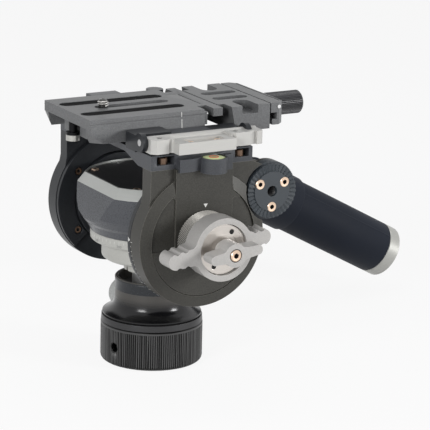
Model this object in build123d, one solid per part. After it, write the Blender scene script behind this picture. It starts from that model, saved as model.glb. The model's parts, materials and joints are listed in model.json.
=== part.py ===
from build123d import *
import os
from math import cos, pi, radians, sin, sqrt

# Fluid video head: a pan base, a tilting yoke with two side discs, a sliding camera plate and a pan handle.
# Millimetres. +Z up, origin at the bottom centre of the base, +X towards the controls, -Y towards the lens.

# Fits shared by all pieces
RUNNING_FIT = 0.05
BODY_GAP = 0.3
OVERRUN = 1.0

# Base plate, with the tripod thread
PLATE_RADIUS = 27.0
PLATE_HEIGHT = 5.0
PLATE_STEP = 2.0
HUB_HEIGHT = 19.3
TRIPOD_THREAD_RADIUS = 4.7625
TRIPOD_THREAD_DEPTH = 15.0
BASE_SCREW_COUNT = 3
BASE_SCREW_MARGIN = 3.5
BASE_SCREW_HEAD_RADIUS = 2.75
BASE_SCREW_HEAD_HEIGHT = 3.0
BASE_SCREW_SUNK = 0.5
BASE_SCREW_RADIUS = 1.5
BASE_SCREW_BITE = 4.0
HUB_RADIUS = PLATE_RADIUS - PLATE_STEP
HUB_TOP = PLATE_HEIGHT + HUB_HEIGHT
BASE_SCREW_CIRCLE = HUB_RADIUS - BASE_SCREW_MARGIN

# Knurled lock ring around the base plate
RING_WALL = 2.95
RING_LIFT = 0.4
RING_BOTTOM_ROUND = 2.6
RING_TOP_CHAMFER = 0.6
SPANNER_HOLE_RADIUS = 2.7
SPANNER_HOLE_ANGLE = -75.0
SPANNER_HOLE_HEIGHT_SHARE = 0.495
RING_RADIUS = PLATE_RADIUS + BODY_GAP + RING_WALL
RING_TOP = HUB_TOP - BODY_GAP

# Collar and pan housing
COLLAR_INSET = 0.15
COLLAR_TAPER = 0.3
COLLAR_HEIGHT = 3.7
COLLAR_BORE_RADIUS = 14.0
SHADOW_LINE = 0.4
SKIRT_INSET = 0.5
SKIRT_EDGE = 1.2
SKIRT_HEIGHT = 11.0
SKIRT_RADIUS_SHARES = (0.60, 0.17, 0.035)
SKIRT_HEIGHT_SHARES = (0.13, 0.36, 0.66)
NECK_RADIUS = 22.0
NECK_WALL = 2.0
NECK_HEIGHT = 22.6
CUP_DEPTH = 14.0
CUP_FLOOR_THICKNESS = 3.0
COLLAR_RADIUS = RING_RADIUS - COLLAR_INSET
COLLAR_TOP_RADIUS = COLLAR_RADIUS - COLLAR_TAPER
COLLAR_TOP = HUB_TOP + COLLAR_HEIGHT
HOUSING_FOOT = COLLAR_TOP + SHADOW_LINE
SKIRT_RADIUS = COLLAR_TOP_RADIUS - SKIRT_INSET
CUP_RADIUS = NECK_RADIUS - NECK_WALL
NECK_TOP = HOUSING_FOOT + NECK_HEIGHT
CUP_FLOOR = NECK_TOP - CUP_DEPTH
NUT_ROOM_TOP = CUP_FLOOR - CUP_FLOOR_THICKNESS

# Pan spindle, its nut and its brake bush
SPINDLE_RADIUS = 12.0
SPINDLE_NUT_WALL = 4.0
SPINDLE_NUT_HEIGHT = 4.5
NUT_ROOM_CLEARANCE = 1.5
PAN_BUSH_HEIGHT = 8.0
SPINDLE_NUT_RADIUS = SPINDLE_RADIUS + SPINDLE_NUT_WALL
NUT_ROOM_RADIUS = SPINDLE_NUT_RADIUS + NUT_ROOM_CLEARANCE
PAN_BUSH_TOP = CUP_FLOOR + PAN_BUSH_HEIGHT

# Pan lock on the skirt
LOCK_STEM_RADIUS = 1.6
LOCK_STEM_FOOTING = 0.1
LOCK_BOSS_RADIUS = 4.6
LOCK_KNOB_RADIUS = 9.0
LOCK_KNOB_LENGTH = 9.6
LOCK_KNOB_CHAMFER = 1.4
LOCK_HEIGHT = HOUSING_FOOT + LOCK_STEM_FOOTING + BODY_GAP + LOCK_STEM_RADIUS
LOCK_BOSS_REACH = RING_RADIUS + BODY_GAP

# Rotating pan body
JOURNAL_RADIUS = 17.0
JOURNAL_GAP = 4.5
JOURNAL_HEIGHT = 7.3
JOURNAL_SLOT_WIDTH = 2.0
JOURNAL_SLOT_DEPTH = 1.5
LOWER_RING_RADIUS = 30.3
LOWER_RING_HEIGHT = 11.7
LOWER_RING_ROUND = 2.5
SCALE_RING_RADIUS = 37.0
SCALE_RING_HEIGHT = 5.8
SCALE_RING_ROUND = 1.2
JOURNAL_BOTTOM = NECK_TOP + JOURNAL_GAP
LOWER_RING_BOTTOM = JOURNAL_BOTTOM + JOURNAL_HEIGHT
SCALE_RING_BOTTOM = LOWER_RING_BOTTOM + LOWER_RING_HEIGHT
SCALE_RING_TOP = SCALE_RING_BOTTOM + SCALE_RING_HEIGHT

# Drum between the side plates
TILT_RISE = 7.4
DRUM_HALF_WIDTH = 44.0
DRUM_SIDE_RADIUS = 42.5
DRUM_FOOT_INSET = 0.4
DRUM_FOOT_HEIGHT = 0.3
DRUM_LIP_PROUD = 0.3
DRUM_LIP_FLARE = 2.2
DRUM_LIP_HEIGHT = 4.7
DRUM_RADIUS = 45.0
DRUM_SWELL_HEIGHT = 12.0
DRUM_SWELL_RADIUS_SHARES = (0.36, 0.87)
DRUM_SWELL_HEIGHT_SHARES = (0.17, 0.58)
DRUM_WALL_HEIGHT = 9.5
DRUM_POCKET_RADIUS = 34.0
DRUM_POCKET_DEPTH = 10.5
TRIM_HEIGHT = 6.0
TRIM_TAPER = 4.5
TRIM_LIP = 0.9
CAP_SINK = 1.0
CAP_SCREW_X = 26.4
CAP_SCREW_Y = 25.2
CAP_SCREW_RADIUS = 2.3
CAP_SCREW_PROUD = 0.6
CAP_SCREW_LENGTH = 4.0
CAP_SCREW_SHANK_RADIUS = 1.25
TILT_HEIGHT = SCALE_RING_TOP + TILT_RISE
DRUM_FOOT_RADIUS = SCALE_RING_RADIUS - DRUM_FOOT_INSET
DRUM_LIP_RADIUS = SCALE_RING_RADIUS + DRUM_LIP_PROUD
DRUM_LIP_TOP_RADIUS = DRUM_LIP_RADIUS + DRUM_LIP_FLARE
DRUM_LIP_TOP = SCALE_RING_TOP + DRUM_LIP_HEIGHT
DRUM_SWELL_TOP = DRUM_LIP_TOP + DRUM_SWELL_HEIGHT
DRUM_TOP = DRUM_SWELL_TOP + DRUM_WALL_HEIGHT
DRUM_POCKET_FLOOR = DRUM_TOP - DRUM_POCKET_DEPTH
TRIM_TOP = DRUM_TOP + TRIM_HEIGHT
TRIM_TOP_RADIUS = DRUM_RADIUS - TRIM_TAPER

# Flanges of the drum and the sealed mechanism
TILT_RING_RADIUS = 40.0
TILT_RING_THICKNESS = 3.2
FAR_FLANGE_RADIUS = 27.8
FAR_FLANGE_THICKNESS = 4.6
DAMPER_RADIUS = 27.0
DAMPER_THICKNESS = 6.5
SPRING_RADIUS = 24.0
SPRING_THICKNESS = 6.5
MECHANISM_CLEARANCE = 0.6

# Control side plate and its cover
DISC_GAP = 0.4
NEAR_ARM_THICKNESS = 10.1
SIDE_DISC_RADIUS = 39.9
NEAR_RIM_PROUD = 1.3
NEAR_BEVEL_PROUD = 3.0
NEAR_BEVEL_WIDTH = 6.7
COVER_SEAM = 0.4
COVER_THICKNESS = 2.8
COLUMN_FRONT = -18.1
COLUMN_REAR = 18.4
POCKET_DEPTH = 0.9
FRONT_POCKET_DROP = 4.7
FRONT_POCKET_RISE = 26.0
REAR_POCKET_LOW_RISE = 2.3
REAR_POCKET_RISE = 22.8
POCKET_CORNER = 1.5
ARM_FRONT = -32.7
ARM_REAR = 32.5
ARM_RISE = 42.3
ARM_SHOULDER_DROP = 15.0
ARM_WAIST_INSET_SHARE = 0.25
ARM_WAIST_HEIGHT_SHARE = 0.5
DISC_TANGENT_ANGLE = 162.0
WEB_THICKNESS = 1.9
BUSH_RADIUS = 9.0
FAR_BUSH_LENGTH = 2.6
NEAR_PLATE_INNER = DRUM_HALF_WIDTH + TILT_RING_THICKNESS + DISC_GAP
NEAR_ARM_OUTER = NEAR_PLATE_INNER + NEAR_ARM_THICKNESS
NEAR_POCKET_END = NEAR_ARM_OUTER - WEB_THICKNESS
NEAR_RIM_OUTER = NEAR_ARM_OUTER + NEAR_RIM_PROUD
NEAR_BEVEL_OUTER = NEAR_ARM_OUTER + NEAR_BEVEL_PROUD
COVER_POCKET_RADIUS = SIDE_DISC_RADIUS - NEAR_BEVEL_WIDTH
COVER_OUTER = NEAR_ARM_OUTER + COVER_THICKNESS
ARM_TOP = TILT_HEIGHT + ARM_RISE
ARM_SHOULDER_HEIGHT = ARM_TOP - ARM_SHOULDER_DROP

# Rosettes
ROSETTE_Y = 45.4
ROSETTE_RISE = 23.2
ROSETTE_RADIUS = 15.9
ROSETTE_PROUD = 1.5
ROSETTE_LAND_RADIUS = 11.5
ROSETTE_TOOTH_COUNT = 36
ROSETTE_TOOTH_DEPTH = 0.9
ROSETTE_THICKNESS = 3.2
ROSETTE_BOSS_RADIUS = 17.0
ROSETTE_RECESS_RADIUS = 17.6
LUG_THICKNESS = 2.9
LUG_TOP_REACH = 5.8
LUG_TOP_RISE = 12.9
WEB_REACH = 7.3
WEB_DROP = 3.2
ROSETTE_THREAD_RADIUS = 3.175
ROSETTE_THREAD_DEPTH = 8.0
HANDLE_THREAD_DEPTH = 6.2
ROSETTE_SCREW_CIRCLE = 9.3
ROSETTE_SCREW_ANGLES = (30.0, 150.0, 270.0)
ROSETTE_SCREW_HEAD_RADIUS = 2.9
ROSETTE_SCREW_HEAD_HEIGHT = 2.2
ROSETTE_SCREW_PROUD = 0.3
ROSETTE_SCREW_RADIUS = 1.5
ROSETTE_SCREW_LENGTH = 7.0
SOCKET_SHARE = 0.42
SOCKET_DEPTH_SHARE = 0.6
ROSETTE_Z = TILT_HEIGHT + ROSETTE_RISE
ROSETTE_FACE = NEAR_ARM_OUTER + ROSETTE_PROUD
LUG_OUTER = NEAR_PLATE_INNER + LUG_THICKNESS
LUG_TOP_Y = ROSETTE_Y + LUG_TOP_REACH
LUG_TOP_Z = ROSETTE_Z + LUG_TOP_RISE

# Far side plate
FAR_RIM_PROUD = 1.5
FAR_LUG_THICKNESS = 3.3
FAR_RING_INNER_RADIUS = 28.3
FAR_RING_RADIUS = 39.5
FAR_RING_THICKNESS = 2.7
FAR_RING_OPENING = 90.0
FAR_RING_SCREW_CIRCLE = 31.4
FAR_RING_SCREW_ANGLES = (215.0, 145.0, 35.0, -35.0)
FAR_RING_SCREW_RADIUS = 2.2
FAR_RING_SCREW_SUNK = 0.8
FAR_RING_COUNTERBORE = 2.6
FAR_PLATE_INNER = -DRUM_HALF_WIDTH - FAR_FLANGE_THICKNESS - MECHANISM_CLEARANCE
FAR_ARM_OUTER = -NEAR_ARM_OUTER
FAR_POCKET_END = FAR_ARM_OUTER + WEB_THICKNESS
FAR_RIM_OUTER = FAR_ARM_OUTER - FAR_RIM_PROUD
FAR_LUG_OUTER = FAR_PLATE_INNER - FAR_LUG_THICKNESS

# Friction dial and levers on the tilt axis
DIAL_GAP = 0.5
DIAL_THICKNESS = 11.0
DIAL_RADIUS = 17.4
DIAL_CHAMFER = 0.6
LEVER_THICKNESS = 12.5
LEVER_RING_RADIUS = 18.3
LEVER_RING_BORE = 14.9
LEVER_BACK_THICKNESS = 2.4
LEVER_WING_THICKNESS = 12.0
LEVER_TURN = 8.5
LEVER_FRONT_REACH = 35.1
LEVER_REAR_REACH = 30.4
LEVER_TIP_RADIUS = 4.6
LEVER_ROOT_HALF = 5.6
LEVER_WING_RISE = 0.8
LEVER_ROOT_ROUND = 4.0
LEVER_RIB_COUNT = 2
LEVER_RIB_RADIUS = 2.0
LEVER_TOP_RIB_DEPTH = 1.15
LEVER_LOW_RIB_DEPTH = 0.75
LEVER_FRONT_RIB_INSET = 6.2
LEVER_FRONT_RIB_PITCH = 5.2
LEVER_REAR_RIB_INSET = 5.2
LEVER_REAR_RIB_PITCH = 4.0
NUT_CLEARANCE = 0.3
NUT_THICKNESS = 8.1
NUT_HOLE_RADIUS = 1.35
NUT_HOLE_CIRCLE = 11.0
NUT_HOLE_ANGLE = 60.2
NUT_HOLE_DEPTH = 3.0
SMALL_LEVER_NECK_LENGTH = 2.8
SMALL_LEVER_THICKNESS = 11.8
SMALL_LEVER_WING_THICKNESS = 9.4
SMALL_LEVER_HUB_RADIUS = 6.8
SMALL_LEVER_NECK_RADIUS = 5.4
SMALL_LEVER_TURN = 7.0
SMALL_LEVER_FRONT_REACH = 15.6
SMALL_LEVER_REAR_REACH = 17.4
SMALL_LEVER_TIP_RADIUS = 2.8
SMALL_LEVER_ROOT_HALF = 3.8
SMALL_LEVER_ROOT_ROUND = 3.0
SHAFT_RADIUS = 6.0
SHAFT_END_SUNK = 0.1
SHAFT_NOSE_RADIUS = 3.0
SHAFT_SCREW_RADIUS = 3.6
SHAFT_SCREW_HEIGHT = 2.0
SHAFT_SCREW_PROUD = 0.6
DIAL_INNER = COVER_OUTER + DIAL_GAP
DIAL_OUTER = DIAL_INNER + DIAL_THICKNESS
LEVER_INNER = DIAL_OUTER + BODY_GAP
LEVER_OUTER = LEVER_INNER + LEVER_THICKNESS
LEVER_WING_INNER = LEVER_OUTER - LEVER_WING_THICKNESS
BUSH_NOSE_END = LEVER_INNER + LEVER_BACK_THICKNESS
SHAFT_SHOULDER = BUSH_NOSE_END + BODY_GAP
NUT_RADIUS = LEVER_RING_BORE - NUT_CLEARANCE
NUT_OUTER = SHAFT_SHOULDER + NUT_THICKNESS
SMALL_LEVER_NECK_END = NUT_OUTER + SMALL_LEVER_NECK_LENGTH + BODY_GAP
SMALL_LEVER_OUTER = SMALL_LEVER_NECK_END + SMALL_LEVER_THICKNESS
SMALL_LEVER_WING_INNER = SMALL_LEVER_OUTER - SMALL_LEVER_WING_THICKNESS
SHAFT_NOSE_END = SMALL_LEVER_OUTER + SHAFT_SCREW_PROUD - SHAFT_SCREW_HEIGHT
SHAFT_FAR_END = FAR_ARM_OUTER + SHAFT_END_SUNK

# Platform on top of the side plates
PLATFORM_FRONT = -32.8
PLATFORM_REAR = 32.5
PLATFORM_THICKNESS = 8.5
ARCH_FOOT_INSET = 15.7
ARCH_SHOULDER_SHARE = 0.62
ARCH_RISE = 5.0
WINDOW_LOW_RISE = 2.9
WINDOW_HIGH_RISE = 7.8
WINDOW_DEPTH = 8.0
FRONT_WINDOW_Y = (-29.2, -17.8)
REAR_WINDOW_Y = (21.0, 30.0)
PLATFORM_SCREW_INSET = 4.0
PLATFORM_SCREW_RADIUS = 2.6
PLATFORM_SCREW_HEIGHT = 3.6
PLATFORM_SCREW_SHANK = 1.5
PLATFORM_SCREW_BITE = 8.0
PLATFORM_HALF_WIDTH = NEAR_ARM_OUTER
PLATFORM_TOP = ARM_TOP + PLATFORM_THICKNESS
ARCH_HALF_WIDTH = PLATFORM_HALF_WIDTH - ARCH_FOOT_INSET
WINDOW_LOW = ARM_TOP + WINDOW_LOW_RISE
WINDOW_HIGH = ARM_TOP + WINDOW_HIGH_RISE

# Level bracket on the near side of the platform
BRACKET_FRONT = -17.0
BRACKET_REAR = 17.5
BRACKET_DROP = 2.7
BRACKET_RISE = 6.0
BRACKET_FRONT_LIFT = 1.3
BRACKET_FRONT_PROUD = 5.0
BRACKET_REAR_PROUD = 3.6
BRACKET_FLAT_END = -8.6
BRACKET_DIP = 1.6
LEVEL_OFFSET = 4.4
LEVEL_Y = 4.8
LEVEL_BOSS_RADIUS = 7.7
LEVEL_BOSS_END_SHARE = 0.9
VIAL_RADIUS = 7.0
VIAL_DEPTH = 4.0
BRACKET_BOTTOM = ARM_TOP - BRACKET_DROP
BRACKET_TOP = ARM_TOP + BRACKET_RISE
BRACKET_FRONT_REACH = PLATFORM_HALF_WIDTH + BRACKET_FRONT_PROUD
BRACKET_REAR_REACH = PLATFORM_HALF_WIDTH + BRACKET_REAR_PROUD
LEVEL_X = PLATFORM_HALF_WIDTH + LEVEL_OFFSET

# Sliding camera plate
CAMERA_FRONT = -57.0
CAMERA_LEG_REAR = 16.5
CAMERA_HALF_WIDTH = 29.3
CAMERA_FLARE = 1.3
CAMERA_LEG_LIFT = 3.0
CAMERA_LEG_HEIGHT = 8.0
CAMERA_LEG_WIDTH = 4.8
CAMERA_DECK_THICKNESS = 6.0
CAMERA_RIB_HALF_WIDTH = 14.5
CAMERA_RIB_DROP = 0.5
CAMERA_RIB_INSET = 5.7
CAMERA_CHANNEL_HALF_WIDTH = 5.5
CAMERA_SCOOP_DROP = 2.5
CAMERA_SCOOP_LENGTH = 8.0
CAMERA_SCOOP_INNER_LENGTH = 1.5
CAMERA_SCOOP_SHARES = ((0.0, 0.0), (0.35, 0.09), (0.70, 0.35), (1.0, 1.0))
HOOK_GAP = 6.0
HOOK_LENGTH = 6.0
HOOK_NOTCH_INNER = 20.0
HOOK_RISE = 1.2
TAIL_LENGTH = 1.1
SEAM_SLOT_X = (-12.0, 15.0)
SEAM_SLOT_OFFSET = 1.0
SEAM_SLOT_WIDTH = 0.9
SEAM_SLOT_DEPTH = 1.5
GRIP_SLOT_X = 13.85
GRIP_SLOT_FRONT_INSET = 2.3
GRIP_SLOT_REAR_INSET = 5.5
GRIP_SLOT_WIDTH = 9.2
GRIP_SLOT_DEPTH = 1.6
GRIP_STRIP_SINK = 0.3
CENTRE_SLOT_FRONT_INSET = 18.0
CENTRE_SLOT_REAR_INSET = 8.5
CENTRE_SLOT_WIDTH = 7.0
EDGE_GROOVE_DROP = 3.3
EDGE_GROOVE_WIDTH = 1.0
EDGE_GROOVE_DEPTH = 0.4
END_LUG_LENGTH = 2.0
END_LUG_DROP = 1.5
END_LUG_HEIGHT = 7.5
END_PIN_RADIUS = 1.1
END_PIN_PROUD = 0.5
END_PIN_INSET = 1.3
END_PIN_DROP = 2.9
CAMERA_LEG_BOTTOM = PLATFORM_TOP + CAMERA_LEG_LIFT
CAMERA_RIB_BOTTOM = CAMERA_LEG_BOTTOM - CAMERA_RIB_DROP
CAMERA_DECK_BOTTOM = CAMERA_LEG_BOTTOM + CAMERA_LEG_HEIGHT
CAMERA_TOP = CAMERA_DECK_BOTTOM + CAMERA_DECK_THICKNESS
CAMERA_SCOOP_TOP = CAMERA_TOP - CAMERA_SCOOP_DROP
CAMERA_FOOT_HALF_WIDTH = CAMERA_HALF_WIDTH + CAMERA_FLARE
CAMERA_LEG_INNER = CAMERA_HALF_WIDTH - CAMERA_LEG_WIDTH
HOOK_FRONT = CAMERA_LEG_REAR + HOOK_GAP
HOOK_REAR = HOOK_FRONT + HOOK_LENGTH
HOOK_BOTTOM = CAMERA_DECK_BOTTOM + HOOK_RISE
CAMERA_REAR = HOOK_REAR + TAIL_LENGTH
GRIP_SLOT_FRONT = CAMERA_FRONT + GRIP_SLOT_FRONT_INSET
GRIP_SLOT_REAR = CAMERA_LEG_REAR - GRIP_SLOT_REAR_INSET
CENTRE_SLOT_FRONT = CAMERA_FRONT + CENTRE_SLOT_FRONT_INSET
CENTRE_SLOT_REAR = CAMERA_LEG_REAR - CENTRE_SLOT_REAR_INSET

# Plate clamp: jaw, hinge block and silver lever bar
CLAMP_CLEARANCE = 0.4
JAW_WIDTH = 14.0
JAW_RISE = 7.8
JAW_FRONT = -13.3
JAW_REAR = 15.3
PIN_OFFSET = 4.5
PIN_RISE = 6.6
PIN_RADIUS = 2.0
HINGE_RISE = 10.1
HINGE_FRONT = -36.3
HINGE_EAR_RADIUS = 5.4
HINGE_EAR_THICKNESS = 3.0
HINGE_ROUND = 3.0
BAR_BARREL_RADIUS = 3.1
BAR_RISE = 1.3
BAR_FRONT_HEIGHT = 8.2
BAR_MIDDLE_HEIGHT = 6.5
BAR_REAR_HEIGHT = 7.8
BAR_STEP_REACH = 10.5
BAR_MIDDLE_REACH = 16.5
BAR_FRONT_CHAMFER = 2.6
BAR_MIDDLE_FRONT = -19.6
BAR_MIDDLE_REAR = 17.0
BAR_REAR = 30.3
BAR_NOTCH_RADIUS = 1.6
BAR_NECK_REACHES = (5.8, 8.9)
BAR_TAB_LENGTH = 4.4
BAR_TAB_CHAMFER = 1.6
BAR_POCKET_Y = (-12.0, 11.0)
BAR_POCKET_REACHES = (7.5, 14.5)
BAR_POCKET_DEPTH = 2.2
BAR_SCREW_Y = (-9.0, 8.0)
BAR_SCREW_REACH = 10.9
BAR_SCREW_RADIUS = 2.3
BAR_SCREW_HEIGHT = 1.2
BAR_HOLE_Y = (-26.0, 22.5)
BAR_HOLE_REACH = 4.7
BAR_HOLE_RADIUS = 1.8
BAR_HOLE_DEPTH = 3.0
JAW_INNER = CAMERA_FOOT_HALF_WIDTH + CLAMP_CLEARANCE
JAW_OUTER = JAW_INNER + JAW_WIDTH
JAW_BOTTOM = PLATFORM_TOP + BODY_GAP
JAW_TOP = PLATFORM_TOP + JAW_RISE
HINGE_TOP = PLATFORM_TOP + HINGE_RISE
PIN_X = JAW_OUTER + PIN_OFFSET
PIN_Z = PLATFORM_TOP + PIN_RISE
BAR_BOTTOM = PLATFORM_TOP + BAR_RISE
BAR_TOP = BAR_BOTTOM + BAR_FRONT_HEIGHT
BAR_MIDDLE_TOP = BAR_BOTTOM + BAR_MIDDLE_HEIGHT
BAR_REAR_TOP = BAR_BOTTOM + BAR_REAR_HEIGHT
BAR_FRONT = HINGE_FRONT + HINGE_EAR_THICKNESS + BODY_GAP
REAR_EAR_FRONT = BAR_REAR + BODY_GAP
BAR_TAB_FRONT = REAR_EAR_FRONT + HINGE_EAR_THICKNESS + BODY_GAP
BAR_TAB_REAR = BAR_TAB_FRONT + BAR_TAB_LENGTH

# Fixed rail on the far side of the platform
RAIL_WIDTH = 15.0
RAIL_FRONT = -30.0
RAIL_REAR = 34.0
RAIL_HEIGHT = 10.5
RAIL_HUMP_HEIGHT = 4.3
RAIL_HUMP_Y = (-22.0, -2.5)
RAIL_PEG_HEIGHTS = (4.9, 2.4)
RAIL_PEG_Y = (20.0, 33.0)
RAIL_PEG_RADIUS = 5.2
RAIL_INNER = -JAW_INNER
RAIL_OUTER = RAIL_INNER - RAIL_WIDTH
RAIL_TOP = PLATFORM_TOP + RAIL_HEIGHT

# Camera screw and stop screw
CAMERA_SCREW_INSET = 23.0
CAMERA_SCREW_RADIUS = 3.175
CAMERA_SCREW_UNDERCUT = 0.6
CAMERA_SCREW_PROUD = 4.5
CAMERA_SCREW_TIP_CHAMFER = 0.8
CAMERA_SCREW_HEAD_RADIUS = 5.1
CAMERA_SCREW_HEAD_HEIGHT = 3.0
STOP_SCREW_INSET = 4.0
STOP_SCREW_RADIUS = 4.0
STOP_SCREW_HEIGHT = 5.0
STOP_SCREW_NECK = 6.8
STOP_SCREW_SHANK = 2.5
CAMERA_SCREW_Y = CAMERA_FRONT + CAMERA_SCREW_INSET
CAMERA_SCREW_TOP = CAMERA_TOP + CAMERA_SCREW_PROUD
STOP_SCREW_Y = CAMERA_FRONT + STOP_SCREW_INSET
STOP_SCREW_TOP = CAMERA_DECK_BOTTOM - STOP_SCREW_NECK
STOP_SCREW_BOTTOM = STOP_SCREW_TOP - STOP_SCREW_HEIGHT

# Rear clamp carried by the camera plate
REAR_BODY_GAP = 4.2
REAR_BODY_LENGTH = 25.7
REAR_BODY_SLOPE = 3.0
REAR_BODY_HALF_WIDTH = 30.5
REAR_BODY_LIFT = 2.0
REAR_NECK_HALF_WIDTH = 21.0
REAR_SLOT_X = 7.0
REAR_SLOT_INSETS = (0.7, 2.5)
REAR_SLOT_WIDTH = 7.2
REAR_SLOT_DEPTH = 5.0
REAR_RECESS_INSET = 7.2
REAR_RECESS_WIDTH = 10.5
REAR_RECESS_X = 14.5
REAR_RECESS_DEPTH = 5.0
JAW_BLOCK_GAP = 1.0
JAW_BLOCK_LENGTH = 9.5
JAW_BLOCK_HALF_WIDTH = 30.0
JAW_BLOCK_CHAMFER = 4.0
JAW_BLOCK_WAIST = 4.0
JAW_LUG_INSET = 1.0
JAW_LUG_DROP = 3.8
JAW_LUG_HEIGHT = 3.4
JAW_PIN_INSET = 5.2
JAW_PIN_DROP = 2.5
JAW_GROOVE_INSET = 8.1
GUIDE_PIN_X = 19.0
GUIDE_PIN_RADIUS = 1.8
GUIDE_PIN_LENGTH = 14.0
KNOB_AXIS_DROP = 2.2
KNOB_RADIUS = 7.0
KNOB_LENGTH = 27.0
KNOB_CHAMFER = 0.8
KNOB_SCREW_RADIUS = 2.5
KNOB_SCREW_REACH = 18.0
REAR_BODY_FRONT = CAMERA_REAR + REAR_BODY_GAP
REAR_BODY_FRONT_LOW = REAR_BODY_FRONT + REAR_BODY_SLOPE
REAR_BODY_REAR = REAR_BODY_FRONT + REAR_BODY_LENGTH
REAR_BODY_BOTTOM = PLATFORM_TOP + REAR_BODY_LIFT
JAW_BLOCK_FRONT = REAR_BODY_REAR + JAW_BLOCK_GAP
JAW_BLOCK_REAR = JAW_BLOCK_FRONT + JAW_BLOCK_LENGTH
JAW_BLOCK_WAIST_FRONT = JAW_BLOCK_FRONT + JAW_BLOCK_WAIST
JAW_LUG_FRONT = JAW_BLOCK_FRONT + JAW_LUG_INSET
JAW_LUG_TOP = CAMERA_DECK_BOTTOM - JAW_LUG_DROP
JAW_LUG_BOTTOM = JAW_LUG_TOP - JAW_LUG_HEIGHT
GUIDE_PIN_Z = (JAW_LUG_TOP + CAMERA_DECK_BOTTOM) / 2
KNOB_AXIS_Z = CAMERA_DECK_BOTTOM - KNOB_AXIS_DROP
KNOB_END = JAW_BLOCK_REAR + KNOB_LENGTH

# Pan handle
HANDLE_AXIS_OFFSET = 9.4
HANDLE_DROP = 28.4
HANDLE_HEAD_RADIUS = 14.0
HANDLE_HEAD_BACK = 6.5
HANDLE_TUBE_RADIUS = 7.5
HANDLE_TUBE_WALL = 1.5
HANDLE_NECK_LENGTH = 64.0
GRIP_LENGTH = 114.0
GRIP_RADIUS = 16.8
GRIP_CORE_RADIUS = 11.0
GRIP_ROUND = 3.0
GRIP_COLLAR_PROUD = 1.1
GRIP_COLLAR_LENGTH = 38.0
END_CAP_LENGTH = 8.8
END_CAP_CHAMFER = 0.8
BOLT_RADIUS = 3.0
BOLT_HEAD_RADIUS = 6.5
BOLT_HEAD_THICKNESS = 5.0
HANDLE_FACE = -ROSETTE_FACE - BODY_GAP
HANDLE_DISC_BACK = HANDLE_FACE - ROSETTE_THICKNESS
HANDLE_X = HANDLE_DISC_BACK - HANDLE_AXIS_OFFSET
HANDLE_HEAD_OUTER = HANDLE_X - HANDLE_HEAD_BACK
GRIP_END = HANDLE_NECK_LENGTH + GRIP_LENGTH


# Shapes that many pieces share
def block(x, y, z):
    """Box between pairs of limits."""
    middle = Pos((x[0] + x[1]) / 2, (y[0] + y[1]) / 2, (z[0] + z[1]) / 2)
    return middle * Box(abs(x[1] - x[0]), abs(y[1] - y[0]), abs(z[1] - z[0]))


def disc_z(radius, low, high, x=0, y=0):
    """Round bar along Z."""
    return Pos(x, y, (low + high) / 2) * Cylinder(radius, abs(high - low))


def disc_x(radius, low, high, y=0, z=TILT_HEIGHT):
    """Round bar along X, on the tilt axis unless told otherwise."""
    return Pos((low + high) / 2, y, z) * Rot(0, 90, 0) * Cylinder(radius, abs(high - low))


def disc_y(radius, low, high, x=0, z=0):
    """Round bar along Y."""
    return Pos(x, (low + high) / 2, z) * Rot(90, 0, 0) * Cylinder(radius, abs(high - low))


def prism_x(points, low, high):
    """Outline of (y, z) points, carried from low to high along X."""
    return extrude(Plane.YZ.offset(low) * Polygon(*points, align=None), high - low, (1, 0, 0))


def prism_y(points, low, high):
    """Outline of (x, z) points, carried from low to high along Y."""
    return extrude(Plane.XZ.offset(-low) * Polygon(*points, align=None), high - low, (0, 1, 0))


def prism_z(points, low, high):
    """Outline of (x, y) points, carried from low to high along Z."""
    return extrude(Plane.XY.offset(low) * Polygon(*points, align=None), high - low, (0, 0, 1))


def turned_z(points):
    """Outline of (radius, z) points turned about the pan axis."""
    return revolve(Plane.XZ * Polygon(*points, align=None), Axis.Z)


def turned_x(points, y=0, z=TILT_HEIGHT):
    """Outline of (x, radius) points turned about a line along X."""
    return Pos(0, y, z) * revolve(Plane.XZ * Polygon(*points, align=None), Axis.X)


def turned_y(points, x=0, z=0):
    """Outline of (y, radius) points turned about a line along Y."""
    return Pos(x, 0, z) * Rot(0, 0, 90) * revolve(Plane.XZ * Polygon(*points, align=None), Axis.X)


def slot_z(x, front, rear, width, low, high):
    """Slot with round ends, long along Y."""
    radius = width / 2
    ends = disc_z(radius, low, high, x, front + radius) + disc_z(radius, low, high, x, rear - radius)
    return ends + block((x - radius, x + radius), (front + radius, rear - radius), (low, high))


def around(angle, circle, y=0, z=TILT_HEIGHT):
    """Place at an angle on a circle about a line along X, counted from the rear upwards."""
    return y + circle * cos(radians(angle)), z + circle * sin(radians(angle))


def screw_x(y, z, face, side, radius, height, shank, length):
    """Socket screw along X whose head's top lies at face; side is +1 for a head that faces +X."""
    under = face - side * height
    floor = face - side * height * SOCKET_DEPTH_SHARE
    socket = disc_x(radius * SOCKET_SHARE, floor, face + side * OVERRUN, y, z)
    return disc_x(radius, under, face, y, z) - socket + disc_x(shank, under - side * length, under, y, z)


def screw_z(x, y, top, radius, height, shank, length):
    """Socket screw along Z with its head's top at top."""
    under = top - height
    socket = disc_z(radius * SOCKET_SHARE, top - height * SOCKET_DEPTH_SHARE, top + OVERRUN, x, y)
    return disc_z(radius, under, top, x, y) - socket + disc_z(shank, under - length, under, x, y)


# Base and pan bearing
def base_screw_places():
    """Centres of the screws under the base plate."""
    turns = [2 * pi * n / BASE_SCREW_COUNT for n in range(BASE_SCREW_COUNT)]
    return [(BASE_SCREW_CIRCLE * cos(turn), BASE_SCREW_CIRCLE * sin(turn)) for turn in turns]


def base_screw(x, y):
    """One base screw, head down."""
    under = BASE_SCREW_SUNK + BASE_SCREW_HEAD_HEIGHT
    head = disc_z(BASE_SCREW_HEAD_RADIUS, BASE_SCREW_SUNK, under, x, y)
    return head + disc_z(BASE_SCREW_RADIUS, under, HOUSING_FOOT + BASE_SCREW_BITE, x, y)


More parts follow.
